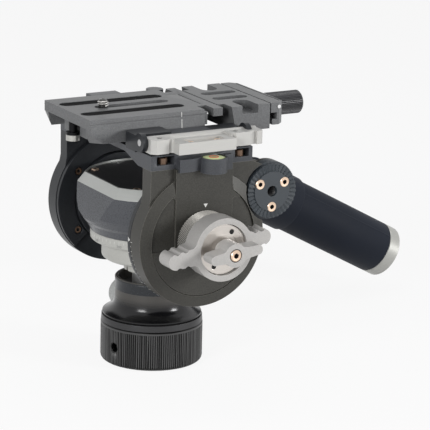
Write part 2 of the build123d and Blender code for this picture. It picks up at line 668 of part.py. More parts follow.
def base_screws():
    return sum((base_screw(x, y) for x, y in base_screw_places()), Part())


def base_screw_holes():
    """Room for the base screws and for the key that turns them."""
    holes = base_screws()
    for x, y in base_screw_places():
        holes += disc_z(BASE_SCREW_HEAD_RADIUS, -OVERRUN, BASE_SCREW_SUNK, x, y)
    return holes


def base_plate():
    plate = disc_z(PLATE_RADIUS, 0, PLATE_HEIGHT) + disc_z(HUB_RADIUS, PLATE_HEIGHT, HUB_TOP)
    return plate - disc_z(TRIPOD_THREAD_RADIUS, -OVERRUN, TRIPOD_THREAD_DEPTH) - base_screw_holes()


def base_lock_ring():
    bore = PLATE_RADIUS + BODY_GAP
    upper_bore = HUB_RADIUS + BODY_GAP
    step = PLATE_HEIGHT + BODY_GAP
    ring = disc_z(RING_RADIUS, RING_LIFT, RING_TOP)
    ring = fillet(ring.edges().filter_by(GeomType.CIRCLE).sort_by(Axis.Z)[0], RING_BOTTOM_ROUND)
    ring = chamfer(ring.edges().filter_by(GeomType.CIRCLE).sort_by(Axis.Z)[-1], RING_TOP_CHAMFER)
    ring -= disc_z(bore, 0, step) + disc_z(upper_bore, step, RING_TOP + OVERRUN)
    height = RING_TOP * SPANNER_HOLE_HEIGHT_SHARE
    hole = disc_x(SPANNER_HOLE_RADIUS, HUB_RADIUS, RING_RADIUS + OVERRUN, 0, height)
    return ring - Rot(0, 0, SPANNER_HOLE_ANGLE) * hole


def base_collar():
    profile = [(COLLAR_BORE_RADIUS, HUB_TOP), (COLLAR_RADIUS, HUB_TOP), (COLLAR_TOP_RADIUS, COLLAR_TOP),
               (COLLAR_BORE_RADIUS, COLLAR_TOP)]
    return turned_z(profile) - base_screw_holes()


def lock_boss():
    """Boss of the pan lock on the skirt, flat at its foot."""
    boss = disc_x(LOCK_BOSS_RADIUS, -LOCK_BOSS_REACH, -CUP_RADIUS, 0, LOCK_HEIGHT)
    foot = LOCK_HEIGHT - LOCK_BOSS_RADIUS - OVERRUN
    return boss - block((-LOCK_BOSS_REACH - OVERRUN, 0), (-NECK_RADIUS, NECK_RADIUS), (foot, HOUSING_FOOT))


def lock_stem_hole():
    """Passage for the pan lock's stem through the skirt to the room of the spindle's nut."""
    return disc_x(LOCK_STEM_RADIUS + BODY_GAP, -LOCK_BOSS_REACH - OVERRUN, -SPINDLE_NUT_RADIUS, 0, LOCK_HEIGHT)


def pan_housing():
    """Flared skirt that draws in to a cup-shaped neck, with the boss for the pan lock."""
    flare = SKIRT_RADIUS - NECK_RADIUS
    skirt_low = HOUSING_FOOT + SKIRT_EDGE
    skirt = [(NECK_RADIUS + flare * r, skirt_low + SKIRT_HEIGHT * h)
             for r, h in zip(SKIRT_RADIUS_SHARES, SKIRT_HEIGHT_SHARES)]
    curve = Spline((SKIRT_RADIUS, skirt_low), *skirt, (NECK_RADIUS, skirt_low + SKIRT_HEIGHT))
    foot = Polyline((0, HOUSING_FOOT), (SKIRT_RADIUS, HOUSING_FOOT), (SKIRT_RADIUS, skirt_low))
    wall = Polyline((NECK_RADIUS, skirt_low + SKIRT_HEIGHT), (NECK_RADIUS, NECK_TOP), (0, NECK_TOP),
                    (0, HOUSING_FOOT))
    body = revolve(Plane.XZ * make_face(foot + curve + wall), Axis.Z)
    body += disc_z(HUB_RADIUS, COLLAR_TOP, HOUSING_FOOT)
    body += lock_boss()
    body -= disc_z(CUP_RADIUS, CUP_FLOOR, NECK_TOP + OVERRUN)
    body -= disc_z(SPINDLE_RADIUS + RUNNING_FIT, COLLAR_TOP, CUP_FLOOR)
    body -= disc_z(NUT_ROOM_RADIUS, COLLAR_TOP - OVERRUN, NUT_ROOM_TOP)
    return body - lock_stem_hole() - base_screw_holes()


def pan_bush():
    bore = disc_z(SPINDLE_RADIUS + RUNNING_FIT, CUP_FLOOR, PAN_BUSH_TOP)
    return disc_z(CUP_RADIUS, CUP_FLOOR, PAN_BUSH_TOP) - bore


def pan_lock_knob():
    inner = -LOCK_BOSS_REACH - BODY_GAP
    outer = inner - LOCK_KNOB_LENGTH
    waist = LOCK_KNOB_RADIUS - LOCK_KNOB_CHAMFER
    profile = [(outer, 0), (outer, waist), (outer + LOCK_KNOB_CHAMFER, LOCK_KNOB_RADIUS),
               (inner - LOCK_KNOB_CHAMFER, LOCK_KNOB_RADIUS), (inner, waist), (inner, 0)]
    return turned_x(profile, 0, LOCK_HEIGHT)


def pan_lock_stem():
    inner = -LOCK_BOSS_REACH - BODY_GAP
    return disc_x(LOCK_STEM_RADIUS, inner, -SPINDLE_NUT_RADIUS - BODY_GAP, 0, LOCK_HEIGHT)


# Pan body and drum
def pan_spindle():
    low = NUT_ROOM_TOP - BODY_GAP - SPINDLE_NUT_HEIGHT
    return disc_z(SPINDLE_RADIUS, low, LOWER_RING_BOTTOM)


def pan_spindle_nut():
    top = NUT_ROOM_TOP - BODY_GAP
    low = top - SPINDLE_NUT_HEIGHT
    return disc_z(SPINDLE_NUT_RADIUS, low, top) - disc_z(SPINDLE_RADIUS, low, top)


def pan_journal():
    ring = disc_z(JOURNAL_RADIUS, JOURNAL_BOTTOM, LOWER_RING_BOTTOM)
    ring -= disc_z(SPINDLE_RADIUS, JOURNAL_BOTTOM, LOWER_RING_BOTTOM)
    half = JOURNAL_SLOT_WIDTH / 2
    return ring - block((-half, half), (-JOURNAL_RADIUS - OVERRUN, JOURNAL_SLOT_DEPTH - JOURNAL_RADIUS),
                        (JOURNAL_BOTTOM - OVERRUN, LOWER_RING_BOTTOM))


def rounded_disc(radius, low, high, rounding):
    """Disc about the pan axis with a rounded lower edge."""
    disc = disc_z(radius, low, high)
    return fillet(disc.edges().filter_by(GeomType.CIRCLE).sort_by(Axis.Z)[0], rounding)


def pan_lower_ring():
    return rounded_disc(LOWER_RING_RADIUS, LOWER_RING_BOTTOM, SCALE_RING_BOTTOM, LOWER_RING_ROUND)


def pan_scale_ring():
    return rounded_disc(SCALE_RING_RADIUS, SCALE_RING_BOTTOM, SCALE_RING_TOP, SCALE_RING_ROUND)


def drum_side_cut():
    """Round bar along the tilt axis that shapes the drum's front and back."""
    return disc_x(DRUM_SIDE_RADIUS, -DRUM_HALF_WIDTH, DRUM_HALF_WIDTH)


def shaft_bore():
    return disc_x(SHAFT_RADIUS, -DRUM_HALF_WIDTH, DRUM_HALF_WIDTH)


def drum_shell():
    swell = DRUM_RADIUS - DRUM_LIP_TOP_RADIUS
    lip_low = SCALE_RING_TOP + DRUM_FOOT_HEIGHT
    outline = [(0, SCALE_RING_TOP), (DRUM_FOOT_RADIUS, SCALE_RING_TOP), (DRUM_FOOT_RADIUS, lip_low),
               (DRUM_LIP_RADIUS, lip_low), (DRUM_LIP_TOP_RADIUS, DRUM_LIP_TOP)]
    outline += [(DRUM_LIP_TOP_RADIUS + swell * r, DRUM_LIP_TOP + DRUM_SWELL_HEIGHT * h)
                for r, h in zip(DRUM_SWELL_RADIUS_SHARES, DRUM_SWELL_HEIGHT_SHARES)]
    outline += [(DRUM_RADIUS, DRUM_SWELL_TOP), (DRUM_RADIUS, DRUM_TOP), (0, DRUM_TOP)]
    drum = turned_z(outline) & drum_side_cut()
    return drum - disc_z(DRUM_POCKET_RADIUS, DRUM_POCKET_FLOOR, DRUM_TOP + OVERRUN) - shaft_bore()


def cap_outline(low, high):
    """Round plug inside the trim ring."""
    plug = disc_z(TRIM_TOP_RADIUS - TRIM_LIP, low, high)
    return plug & disc_x(DRUM_SIDE_RADIUS - TRIM_LIP, -DRUM_HALF_WIDTH, DRUM_HALF_WIDTH)


def drum_trim():
    cone = turned_z([(0, DRUM_TOP), (DRUM_RADIUS, DRUM_TOP), (TRIM_TOP_RADIUS, TRIM_TOP), (0, TRIM_TOP)])
    return (cone & drum_side_cut()) - cap_outline(DRUM_TOP, TRIM_TOP + OVERRUN)


def cap_screw_places():
    return [(x, y) for x in (-CAP_SCREW_X, CAP_SCREW_X) for y in (-CAP_SCREW_Y, CAP_SCREW_Y)]


def cap_screws():
    """Screws whose heads are half sunk in the cap."""
    top = TRIM_TOP - CAP_SINK + CAP_SCREW_PROUD
    sizes = (CAP_SCREW_RADIUS, 2 * CAP_SCREW_PROUD, CAP_SCREW_SHANK_RADIUS, CAP_SCREW_LENGTH)
    return sum((screw_z(x, y, top, *sizes) for x, y in cap_screw_places()), Part())


def drum_cap():
    top = TRIM_TOP - CAP_SINK
    cap = cap_outline(DRUM_TOP, top) - cap_screws()
    for x, y in cap_screw_places():
        cap -= disc_z(CAP_SCREW_RADIUS, top - CAP_SCREW_PROUD, top + OVERRUN, x, y)
    return cap


def tilt_scale_ring():
    outer = DRUM_HALF_WIDTH + TILT_RING_THICKNESS
    return disc_x(TILT_RING_RADIUS, DRUM_HALF_WIDTH, outer) - disc_x(SHAFT_RADIUS, DRUM_HALF_WIDTH, outer)


def far_flange():
    inner = -DRUM_HALF_WIDTH
    outer = inner - FAR_FLANGE_THICKNESS
    return disc_x(FAR_FLANGE_RADIUS, outer, inner) - disc_x(SHAFT_RADIUS, outer, inner)


def tilt_shaft():
    profile = [(SHAFT_FAR_END, 0), (SHAFT_FAR_END, SHAFT_RADIUS), (SHAFT_SHOULDER, SHAFT_RADIUS),
               (SHAFT_SHOULDER, SHAFT_NOSE_RADIUS), (SHAFT_NOSE_END, SHAFT_NOSE_RADIUS), (SHAFT_NOSE_END, 0)]
    return turned_x(profile)


def tilt_damper():
    low = DRUM_HALF_WIDTH + TILT_RING_THICKNESS + MECHANISM_CLEARANCE
    high = low + DAMPER_THICKNESS
    return disc_x(DAMPER_RADIUS, low, high) - disc_x(SHAFT_RADIUS, low, high)


def counterbalance_spring():
    high = -DRUM_HALF_WIDTH - FAR_FLANGE_THICKNESS
    low = high - SPRING_THICKNESS
    return disc_x(SPRING_RADIUS, low, high) - disc_x(SHAFT_RADIUS, low, high)


def shaft_nut():
    nut = disc_x(NUT_RADIUS, SHAFT_SHOULDER, NUT_OUTER) - disc_x(SHAFT_NOSE_RADIUS, SHAFT_SHOULDER, NUT_OUTER)
    for angle in (NUT_HOLE_ANGLE, NUT_HOLE_ANGLE + 180):
        place = around(angle, NUT_HOLE_CIRCLE)
        nut -= disc_x(NUT_HOLE_RADIUS, NUT_OUTER - NUT_HOLE_DEPTH, NUT_OUTER + OVERRUN, *place)
    return nut


def shaft_screw():
    top = SHAFT_NOSE_END + SHAFT_SCREW_HEIGHT
    floor = top - SHAFT_SCREW_HEIGHT * SOCKET_DEPTH_SHARE
    socket = disc_x(SHAFT_SCREW_RADIUS * SOCKET_SHARE, floor, top + OVERRUN)
    return disc_x(SHAFT_SCREW_RADIUS, SHAFT_NOSE_END, top) - socket


# Yoke: side plates, rosettes and platform
def arm_outline():
    """Side arm seen along X: it leaves the disc at its shoulders and carries the platform."""
    front_y, front_z = around(DISC_TANGENT_ANGLE, SIDE_DISC_RADIUS)
    rear = around(180 - DISC_TANGENT_ANGLE, SIDE_DISC_RADIUS)
    waist_y = ARM_FRONT + (front_y - ARM_FRONT) * ARM_WAIST_INSET_SHARE
    waist_z = front_z + (ARM_SHOULDER_HEIGHT - front_z) * ARM_WAIST_HEIGHT_SHARE
    return [(front_y, front_z), (waist_y, waist_z), (ARM_FRONT, ARM_SHOULDER_HEIGHT), (ARM_FRONT, ARM_TOP),
            (ARM_REAR, ARM_TOP), rear]


def lug(low, high):
    """Ear that carries a rosette."""
    ear = disc_x(ROSETTE_BOSS_RADIUS, low, high, ROSETTE_Y, ROSETTE_Z)
    web = prism_x([(0, ARM_TOP), (ARM_REAR, ARM_TOP), (LUG_TOP_Y, LUG_TOP_Z), (ROSETTE_Y, ROSETTE_Z),
                   (0, ROSETTE_Z)], low, high)
    return ear + web


def rosette_recess(low, high, slack):
    return disc_x(ROSETTE_RECESS_RADIUS + slack, low, high, ROSETTE_Y, ROSETTE_Z)


def column(low, high, slack):
    """Raised column of the cover, from the tilt axis up to the platform."""
    return block((low, high), (COLUMN_FRONT - slack, COLUMN_REAR + slack), (TILT_HEIGHT, ARM_TOP))


def platform_screw_places(half_width):
    """Centres of the two platform screws on one side."""
    return [(half_width, sum(span) / 2) for span in (FRONT_WINDOW_Y, REAR_WINDOW_Y)]


def platform_screw_holes(x):
    return sum((disc_z(PLATFORM_SCREW_SHANK, ARM_TOP - PLATFORM_SCREW_BITE, ARM_TOP + OVERRUN, px, py)
                for px, py in platform_screw_places(x)), Part())


def control_side_plate():
    """Disc with a bevelled rim and a pocket for the cover, its arm and the ear of the rosette."""
    disc = turned_x([(NEAR_PLATE_INNER, 0), (NEAR_PLATE_INNER, SIDE_DISC_RADIUS),
                     (NEAR_RIM_OUTER, SIDE_DISC_RADIUS), (NEAR_BEVEL_OUTER, COVER_POCKET_RADIUS),
                     (NEAR_ARM_OUTER, COVER_POCKET_RADIUS), (NEAR_ARM_OUTER, 0)])
    disc -= column(NEAR_ARM_OUTER, NEAR_BEVEL_OUTER + OVERRUN, COVER_SEAM)
    plate = disc + prism_x(arm_outline(), NEAR_PLATE_INNER, NEAR_ARM_OUTER)
    plate += prism_x([(0, ARM_TOP), (ARM_REAR, ARM_TOP), (ARM_REAR + WEB_REACH, ARM_TOP - WEB_DROP),
                      (ROSETTE_Y, ROSETTE_Z), (0, ROSETTE_Z)], NEAR_PLATE_INNER, NEAR_ARM_OUTER)
    plate += lug(NEAR_PLATE_INNER, LUG_OUTER)
    plate -= rosette_recess(LUG_OUTER, NEAR_BEVEL_OUTER + OVERRUN, 0)
    plate -= disc_x(DAMPER_RADIUS + MECHANISM_CLEARANCE, NEAR_PLATE_INNER - OVERRUN, NEAR_POCKET_END)
    plate -= disc_x(BUSH_RADIUS, NEAR_POCKET_END - OVERRUN, NEAR_ARM_OUTER + OVERRUN)
    return plate - platform_screw_holes(PLATFORM_HALF_WIDTH - PLATFORM_SCREW_INSET)


def rounded_pocket(x, y, z):
    """Shallow pocket along X with rounded corners."""
    pocket = block(x, y, z)
    return fillet(pocket.edges().filter_by(Axis.X), POCKET_CORNER)


def control_side_cover():
    """Keyhole-shaped cover: a disc in the plate's pocket and the column above it."""
    radius = COVER_POCKET_RADIUS - COVER_SEAM
    cover = disc_x(radius, NEAR_ARM_OUTER, COVER_OUTER) + column(NEAR_ARM_OUTER, COVER_OUTER, 0)
    depth = (COVER_OUTER - POCKET_DEPTH, COVER_OUTER + OVERRUN)
    front_z = (TILT_HEIGHT - FRONT_POCKET_DROP, TILT_HEIGHT + FRONT_POCKET_RISE)
    rear_z = (TILT_HEIGHT + REAR_POCKET_LOW_RISE, TILT_HEIGHT + REAR_POCKET_RISE)
    cover -= rounded_pocket(depth, (-SIDE_DISC_RADIUS, COLUMN_FRONT), front_z)
    cover -= rounded_pocket(depth, (COLUMN_REAR, SIDE_DISC_RADIUS), rear_z)
    cover -= rosette_recess(NEAR_ARM_OUTER - OVERRUN, COVER_OUTER + OVERRUN, COVER_SEAM)
    return cover - disc_x(BUSH_RADIUS, NEAR_ARM_OUTER - OVERRUN, COVER_OUTER + OVERRUN)


def tilt_bushes():
    """Near bush, whose nose carries the dial and the lever, and the far bush."""
    bore = SHAFT_RADIUS + RUNNING_FIT
    near = disc_x(BUSH_RADIUS, NEAR_POCKET_END, BUSH_NOSE_END) - disc_x(bore, NEAR_POCKET_END, BUSH_NOSE_END)
    far_end = FAR_POCKET_END - FAR_BUSH_LENGTH
    return near + (disc_x(BUSH_RADIUS, far_end, FAR_POCKET_END) - disc_x(bore, far_end, FAR_POCKET_END))


def rosette_screw_places():
    return [around(angle, ROSETTE_SCREW_CIRCLE, ROSETTE_Y, ROSETTE_Z) for angle in ROSETTE_SCREW_ANGLES]


def rosette_teeth():
    """Ring of V-shaped grooves cut into the rosette's face."""
    half = pi * ROSETTE_RADIUS / ROSETTE_TOOTH_COUNT
    depth = ROSETTE_TOOTH_DEPTH
    inner = ROSETTE_LAND_RADIUS
    outer = ROSETTE_BOSS_RADIUS
    groove = Rot(90, 0, 0) * prism_z([(0, 0), (depth, -half), (depth, half)], -outer, -inner)
    teeth = Part()
    for n in range(ROSETTE_TOOTH_COUNT):
        teeth += Rot(360 * n / ROSETTE_TOOTH_COUNT, 0, 0) * groove
    return Pos(ROSETTE_FACE - depth, ROSETTE_Y, ROSETTE_Z) * teeth


def rosette_body(boss_low, side, depth):
    """Boss and rosette disc with their screw holes; side is +1 for the control side."""
    face = side * ROSETTE_FACE
    disc_low = side * (ROSETTE_FACE - ROSETTE_THICKNESS)
    body = disc_x(ROSETTE_BOSS_RADIUS, boss_low, disc_low, ROSETTE_Y, ROSETTE_Z)
    body += disc_x(ROSETTE_RADIUS, disc_low, face, ROSETTE_Y, ROSETTE_Z)
    body -= disc_x(ROSETTE_THREAD_RADIUS, face - side * depth, face + side * OVERRUN, ROSETTE_Y, ROSETTE_Z)
    sink = face + side * (ROSETTE_SCREW_PROUD - ROSETTE_SCREW_HEAD_HEIGHT)
    for y, z in rosette_screw_places():
        body -= disc_x(ROSETTE_SCREW_HEAD_RADIUS, sink, face + side * OVERRUN, y, z)
        body -= disc_x(ROSETTE_SCREW_RADIUS, sink - side * ROSETTE_SCREW_LENGTH, sink, y, z)
    return body


def control_rosette():
    return rosette_body(LUG_OUTER, 1, ROSETTE_THREAD_DEPTH) - rosette_teeth()


def handle_side_rosette():
    return rosette_body(FAR_LUG_OUTER, -1, HANDLE_THREAD_DEPTH)


def rosette_screws():
    """Three screws in each rosette, down to its plate; those under the handle lie flush."""
    screws = Part()
    sunk = ROSETTE_SCREW_HEAD_HEIGHT - ROSETTE_SCREW_PROUD
    for side, proud, foot in ((1, ROSETTE_SCREW_PROUD, LUG_OUTER), (-1, 0, -FAR_LUG_OUTER)):
        length = ROSETTE_FACE - sunk - foot
        for y, z in rosette_screw_places():
            screws += screw_x(y, z, side * (ROSETTE_FACE + proud), side, ROSETTE_SCREW_HEAD_RADIUS,
                              sunk + proud, ROSETTE_SCREW_RADIUS, length)
    return screws


def far_ring_screw_places():
    return [around(angle, FAR_RING_SCREW_CIRCLE) for angle in FAR_RING_SCREW_ANGLES]


def far_side_plate():
    plate = disc_x(SIDE_DISC_RADIUS, FAR_RIM_OUTER, FAR_PLATE_INNER)
    plate += prism_x(arm_outline(), FAR_ARM_OUTER, FAR_PLATE_INNER)
    plate += lug(FAR_LUG_OUTER, FAR_PLATE_INNER)
    plate -= rosette_recess(FAR_RIM_OUTER - OVERRUN, FAR_LUG_OUTER, 0)
    plate -= disc_x(SPRING_RADIUS + MECHANISM_CLEARANCE, FAR_POCKET_END, FAR_PLATE_INNER + OVERRUN)
    plate -= disc_x(BUSH_RADIUS, FAR_POCKET_END - FAR_BUSH_LENGTH, FAR_POCKET_END + OVERRUN)
    return plate - platform_screw_holes(PLATFORM_SCREW_INSET - PLATFORM_HALF_WIDTH)


def far_side_ring():
    """Open ring on the far plate's inner face, cut off flat at the bottom."""
    outer = FAR_PLATE_INNER + FAR_RING_THICKNESS
    ring = disc_x(FAR_RING_RADIUS, FAR_PLATE_INNER, outer)
    ring -= disc_x(FAR_RING_INNER_RADIUS, FAR_PLATE_INNER, outer)
    reach = FAR_RING_RADIUS * sqrt(2)
    start = 270 - FAR_RING_OPENING / 2
    wedge = [(0, TILT_HEIGHT), around(start, reach), around(start + FAR_RING_OPENING, reach)]
    ring -= prism_x(wedge, FAR_PLATE_INNER - OVERRUN, outer + OVERRUN)
    for y, z in far_ring_screw_places():
        ring -= disc_x(FAR_RING_COUNTERBORE, FAR_PLATE_INNER, outer + OVERRUN, y, z)
    return ring


def far_ring_screws():
    face = FAR_PLATE_INNER + FAR_RING_THICKNESS - FAR_RING_SCREW_SUNK
    height = FAR_RING_THICKNESS - FAR_RING_SCREW_SUNK
    screws = Part()
    floor = face - height * SOCKET_DEPTH_SHARE
    for y, z in far_ring_screw_places():
        socket = disc_x(FAR_RING_SCREW_RADIUS * SOCKET_SHARE, floor, face + OVERRUN, y, z)
        screws += disc_x(FAR_RING_SCREW_RADIUS, FAR_PLATE_INNER, face, y, z) - socket
    return screws


def platform():
    """Deck with an arched underside and a window for each screw."""
    half = PLATFORM_HALF_WIDTH
    arch = ARM_TOP + ARCH_RISE
    shoulder = ARCH_HALF_WIDTH * ARCH_SHOULDER_SHARE
    outline = [(-half, ARM_TOP), (-ARCH_HALF_WIDTH, ARM_TOP), (-shoulder, arch), (shoulder, arch),
               (ARCH_HALF_WIDTH, ARM_TOP), (half, ARM_TOP), (half, PLATFORM_TOP), (-half, PLATFORM_TOP)]
    deck = prism_y(outline, PLATFORM_FRONT, PLATFORM_REAR)
    for side in (-1, 1):
        depth = (side * (half - WINDOW_DEPTH), side * (half + OVERRUN))
        for span in (FRONT_WINDOW_Y, REAR_WINDOW_Y):
            deck -= block(depth, span, (WINDOW_LOW, WINDOW_HIGH))
        for x, y in platform_screw_places(side * (half - PLATFORM_SCREW_INSET)):
            deck -= disc_z(PLATFORM_SCREW_SHANK, ARM_TOP - OVERRUN, WINDOW_LOW, x, y)
    return deck


def platform_screws():
    screws = Part()
    reach = WINDOW_LOW_RISE + PLATFORM_SCREW_BITE
    sizes = (PLATFORM_SCREW_RADIUS, PLATFORM_SCREW_HEIGHT, PLATFORM_SCREW_SHANK, reach)
    for side in (-1, 1):
        for x, y in platform_screw_places(side * (PLATFORM_HALF_WIDTH - PLATFORM_SCREW_INSET)):
            screws += screw_z(x, y, WINDOW_LOW + PLATFORM_SCREW_HEIGHT, *sizes)
    return screws


def bracket_room(bottom, top):
    """Space beside the platform that the level bracket may take."""
    outer = LEVEL_X + 2 * LEVEL_BOSS_RADIUS
    return block((PLATFORM_HALF_WIDTH, outer), (BRACKET_FRONT, BRACKET_REAR), (bottom, top))


def level_bracket():
    """Wavy block on the near side that holds the round level."""
    front = BRACKET_FRONT_REACH
    boss_end = LEVEL_Y + LEVEL_BOSS_RADIUS * LEVEL_BOSS_END_SHARE
    outline = [(0, BRACKET_FRONT), (front, BRACKET_FRONT), (front, BRACKET_FLAT_END),
               (front - BRACKET_DIP, LEVEL_Y - LEVEL_BOSS_RADIUS), (LEVEL_X, LEVEL_Y),
               (BRACKET_REAR_REACH, boss_end), (BRACKET_REAR_REACH, BRACKET_REAR), (0, BRACKET_REAR)]
    body = prism_z(outline, BRACKET_BOTTOM, BRACKET_TOP)
    body += disc_z(LEVEL_BOSS_RADIUS, BRACKET_BOTTOM, BRACKET_TOP, LEVEL_X, LEVEL_Y)
    body -= disc_z(VIAL_RADIUS, BRACKET_TOP - VIAL_DEPTH, BRACKET_TOP + OVERRUN, LEVEL_X, LEVEL_Y)
    body -= block((0, COVER_OUTER), (BRACKET_FRONT, BRACKET_REAR), (BRACKET_BOTTOM, ARM_TOP))
    lift = (BRACKET_BOTTOM - OVERRUN, BRACKET_BOTTOM + BRACKET_FRONT_LIFT)
    body -= block((0, front + OVERRUN), (BRACKET_FRONT, LEVEL_Y - LEVEL_BOSS_RADIUS), lift)
    return body & bracket_room(BRACKET_BOTTOM, BRACKET_TOP)


def level_vial():
    vial = disc_z(VIAL_RADIUS, BRACKET_TOP - VIAL_DEPTH, BRACKET_TOP, LEVEL_X, LEVEL_Y)
    return vial & bracket_room(BRACKET_BOTTOM, BRACKET_TOP)


def far_clamp_rail():
    rail = block((RAIL_OUTER, RAIL_INNER), (RAIL_FRONT, RAIL_REAR), (PLATFORM_TOP, RAIL_TOP))
    middle = (RAIL_OUTER + RAIL_INNER) / 2
    rail += block((RAIL_OUTER, middle), RAIL_HUMP_Y, (RAIL_TOP, RAIL_TOP + RAIL_HUMP_HEIGHT))
    for y, height in zip(RAIL_PEG_Y, RAIL_PEG_HEIGHTS):
        rail += disc_z(RAIL_PEG_RADIUS, RAIL_TOP, RAIL_TOP + height, middle, y)
    return rail


# Dial and levers
def friction_dial():
    flat = DIAL_RADIUS - DIAL_CHAMFER
    bore = BUSH_RADIUS + RUNNING_FIT
    profile = [(DIAL_INNER, bore), (DIAL_INNER, flat), (DIAL_INNER + DIAL_CHAMFER, DIAL_RADIUS),
               (DIAL_OUTER - DIAL_CHAMFER, DIAL_RADIUS), (DIAL_OUTER, flat), (DIAL_OUTER, bore)]
    return turned_x(profile)


def wing(reach, tip, root_half):
    """Plan of a lever wing along +Y, drawn in towards its rounded tip."""
    end = reach - tip
    shape = Polygon((0, -root_half), (end, -tip), (end, tip), (0, root_half), align=None)
    return shape + Pos(end, 0) * Circle(tip)


def lever_plan(hub, wings, rounding):
    """Plan of a two-winged lever with blended roots; wings gives the front and the rear one."""
    front, rear = wings
    plan = Circle(hub) + rear + mirror(front, Plane.YZ)
    roots = [corner for corner in plan.vertices() if abs(corner.center().length - hub) < RUNNING_FIT]
    return fillet(roots, rounding)


def lever_solid(plan, low, high):
    """A lever's plan, drawn as (y, z), carried along X about a line through the origin."""
    return extrude(Plane.YZ.offset(low) * plan, high - low, (1, 0, 0))


def rib_grooves(side, reach, inset, pitch):
    """Rounded grooves across one wing of the lock lever, deeper on its upper side."""
    slope = (LEVER_ROOT_HALF - LEVER_TIP_RADIUS) / (reach - LEVER_TIP_RADIUS)
    ends = (LEVER_WING_INNER - OVERRUN, LEVER_OUTER + OVERRUN)
    cuts = Part()
    for n in range(LEVER_RIB_COUNT):
        place = reach - inset - n * pitch
        away = LEVER_ROOT_HALF - slope * place + LEVER_RIB_RADIUS
        cuts += disc_x(LEVER_RIB_RADIUS, *ends, side * place, LEVER_WING_RISE + away - LEVER_TOP_RIB_DEPTH)
        cuts += disc_x(LEVER_RIB_RADIUS, *ends, side * place, LEVER_WING_RISE - away + LEVER_LOW_RIB_DEPTH)
    return cuts


def tilt_lock_lever():
    """Ring with two thick winged grips, each with rounded grooves across it."""
    wings = [Pos(0, LEVER_WING_RISE) * wing(reach, LEVER_TIP_RADIUS, LEVER_ROOT_HALF)
             for reach in (LEVER_FRONT_REACH, LEVER_REAR_REACH)]
    plan = lever_plan(LEVER_RING_RADIUS, wings, LEVER_ROOT_ROUND)
    lever = lever_solid(plan, LEVER_WING_INNER, LEVER_OUTER)
    lever -= rib_grooves(-1, LEVER_FRONT_REACH, LEVER_FRONT_RIB_INSET, LEVER_FRONT_RIB_PITCH)
    lever -= rib_grooves(1, LEVER_REAR_REACH, LEVER_REAR_RIB_INSET, LEVER_REAR_RIB_PITCH)
    lever += disc_x(LEVER_RING_RADIUS, LEVER_INNER, LEVER_WING_INNER, 0, 0)
    lever -= disc_x(LEVER_RING_BORE, BUSH_NOSE_END, LEVER_OUTER + OVERRUN, 0, 0)
    lever -= disc_x(BUSH_RADIUS + RUNNING_FIT, LEVER_INNER - OVERRUN, BUSH_NOSE_END + OVERRUN, 0, 0)
    return Pos(0, 0, TILT_HEIGHT) * Rot(LEVER_TURN, 0, 0) * lever


def shaft_lever():
    """Small wing lever on the shaft's nose."""
    low = NUT_OUTER + BODY_GAP
    front = wing(SMALL_LEVER_FRONT_REACH, SMALL_LEVER_TIP_RADIUS, SMALL_LEVER_ROOT_HALF)
    rear = wing(SMALL_LEVER_REAR_REACH, SMALL_LEVER_TIP_RADIUS, SMALL_LEVER_ROOT_HALF)
    plan = lever_plan(SMALL_LEVER_HUB_RADIUS, (front, rear), SMALL_LEVER_ROOT_ROUND)
    lever = lever_solid(plan, SMALL_LEVER_WING_INNER, SMALL_LEVER_OUTER)
    lever += disc_x(SMALL_LEVER_HUB_RADIUS, SMALL_LEVER_NECK_END, SMALL_LEVER_WING_INNER, 0, 0)
    lever += disc_x(SMALL_LEVER_NECK_RADIUS, low, SMALL_LEVER_NECK_END, 0, 0)
    beyond = SMALL_LEVER_OUTER + OVERRUN
    lever -= disc_x(SHAFT_NOSE_RADIUS + RUNNING_FIT, low - OVERRUN, beyond, 0, 0)
    lever -= disc_x(SHAFT_SCREW_RADIUS + BODY_GAP, SHAFT_NOSE_END - BODY_GAP, beyond, 0, 0)
    return Pos(0, 0, TILT_HEIGHT) * Rot(SMALL_LEVER_TURN, 0, 0) * lever


# Plate clamp
def clamp_jaw():
    return block((JAW_INNER, JAW_OUTER), (JAW_FRONT, JAW_REAR), (JAW_BOTTOM, JAW_TOP))


def hinge_ear(low, high):
    """Ear that holds the pin, carried from the clamp block out to the pin's line."""
    arm_z = (PIN_Z - HINGE_EAR_RADIUS, PIN_Z + PIN_RADIUS)
    arm = block((JAW_OUTER - HINGE_EAR_THICKNESS, PIN_X), (low, high), arm_z)
    return arm + disc_y(HINGE_EAR_RADIUS, low, high, PIN_X, PIN_Z)


def clamp_hinge_block():
    """Blocks in front of the jaw and behind it, with the ears that hold the pin."""
    rear_end = REAR_EAR_FRONT + HINGE_EAR_THICKNESS
    front = block((JAW_INNER, JAW_OUTER), (HINGE_FRONT, JAW_FRONT), (JAW_BOTTOM, HINGE_TOP))
    corner = front.edges().filter_by(Axis.Z).group_by(Axis.Y)[0].sort_by(Axis.X)[0]
    front = fillet(corner, HINGE_ROUND) + hinge_ear(HINGE_FRONT, HINGE_FRONT + HINGE_EAR_THICKNESS)
    rear = block((JAW_INNER, JAW_OUTER), (JAW_REAR, rear_end), (JAW_BOTTOM, JAW_TOP))
    rear += hinge_ear(REAR_EAR_FRONT, rear_end)
    return front + rear - disc_y(PIN_RADIUS, HINGE_FRONT - OVERRUN, BAR_TAB_REAR, PIN_X, PIN_Z)


def clamp_pin():
    return disc_y(PIN_RADIUS, HINGE_FRONT, BAR_TAB_FRONT, PIN_X, PIN_Z)


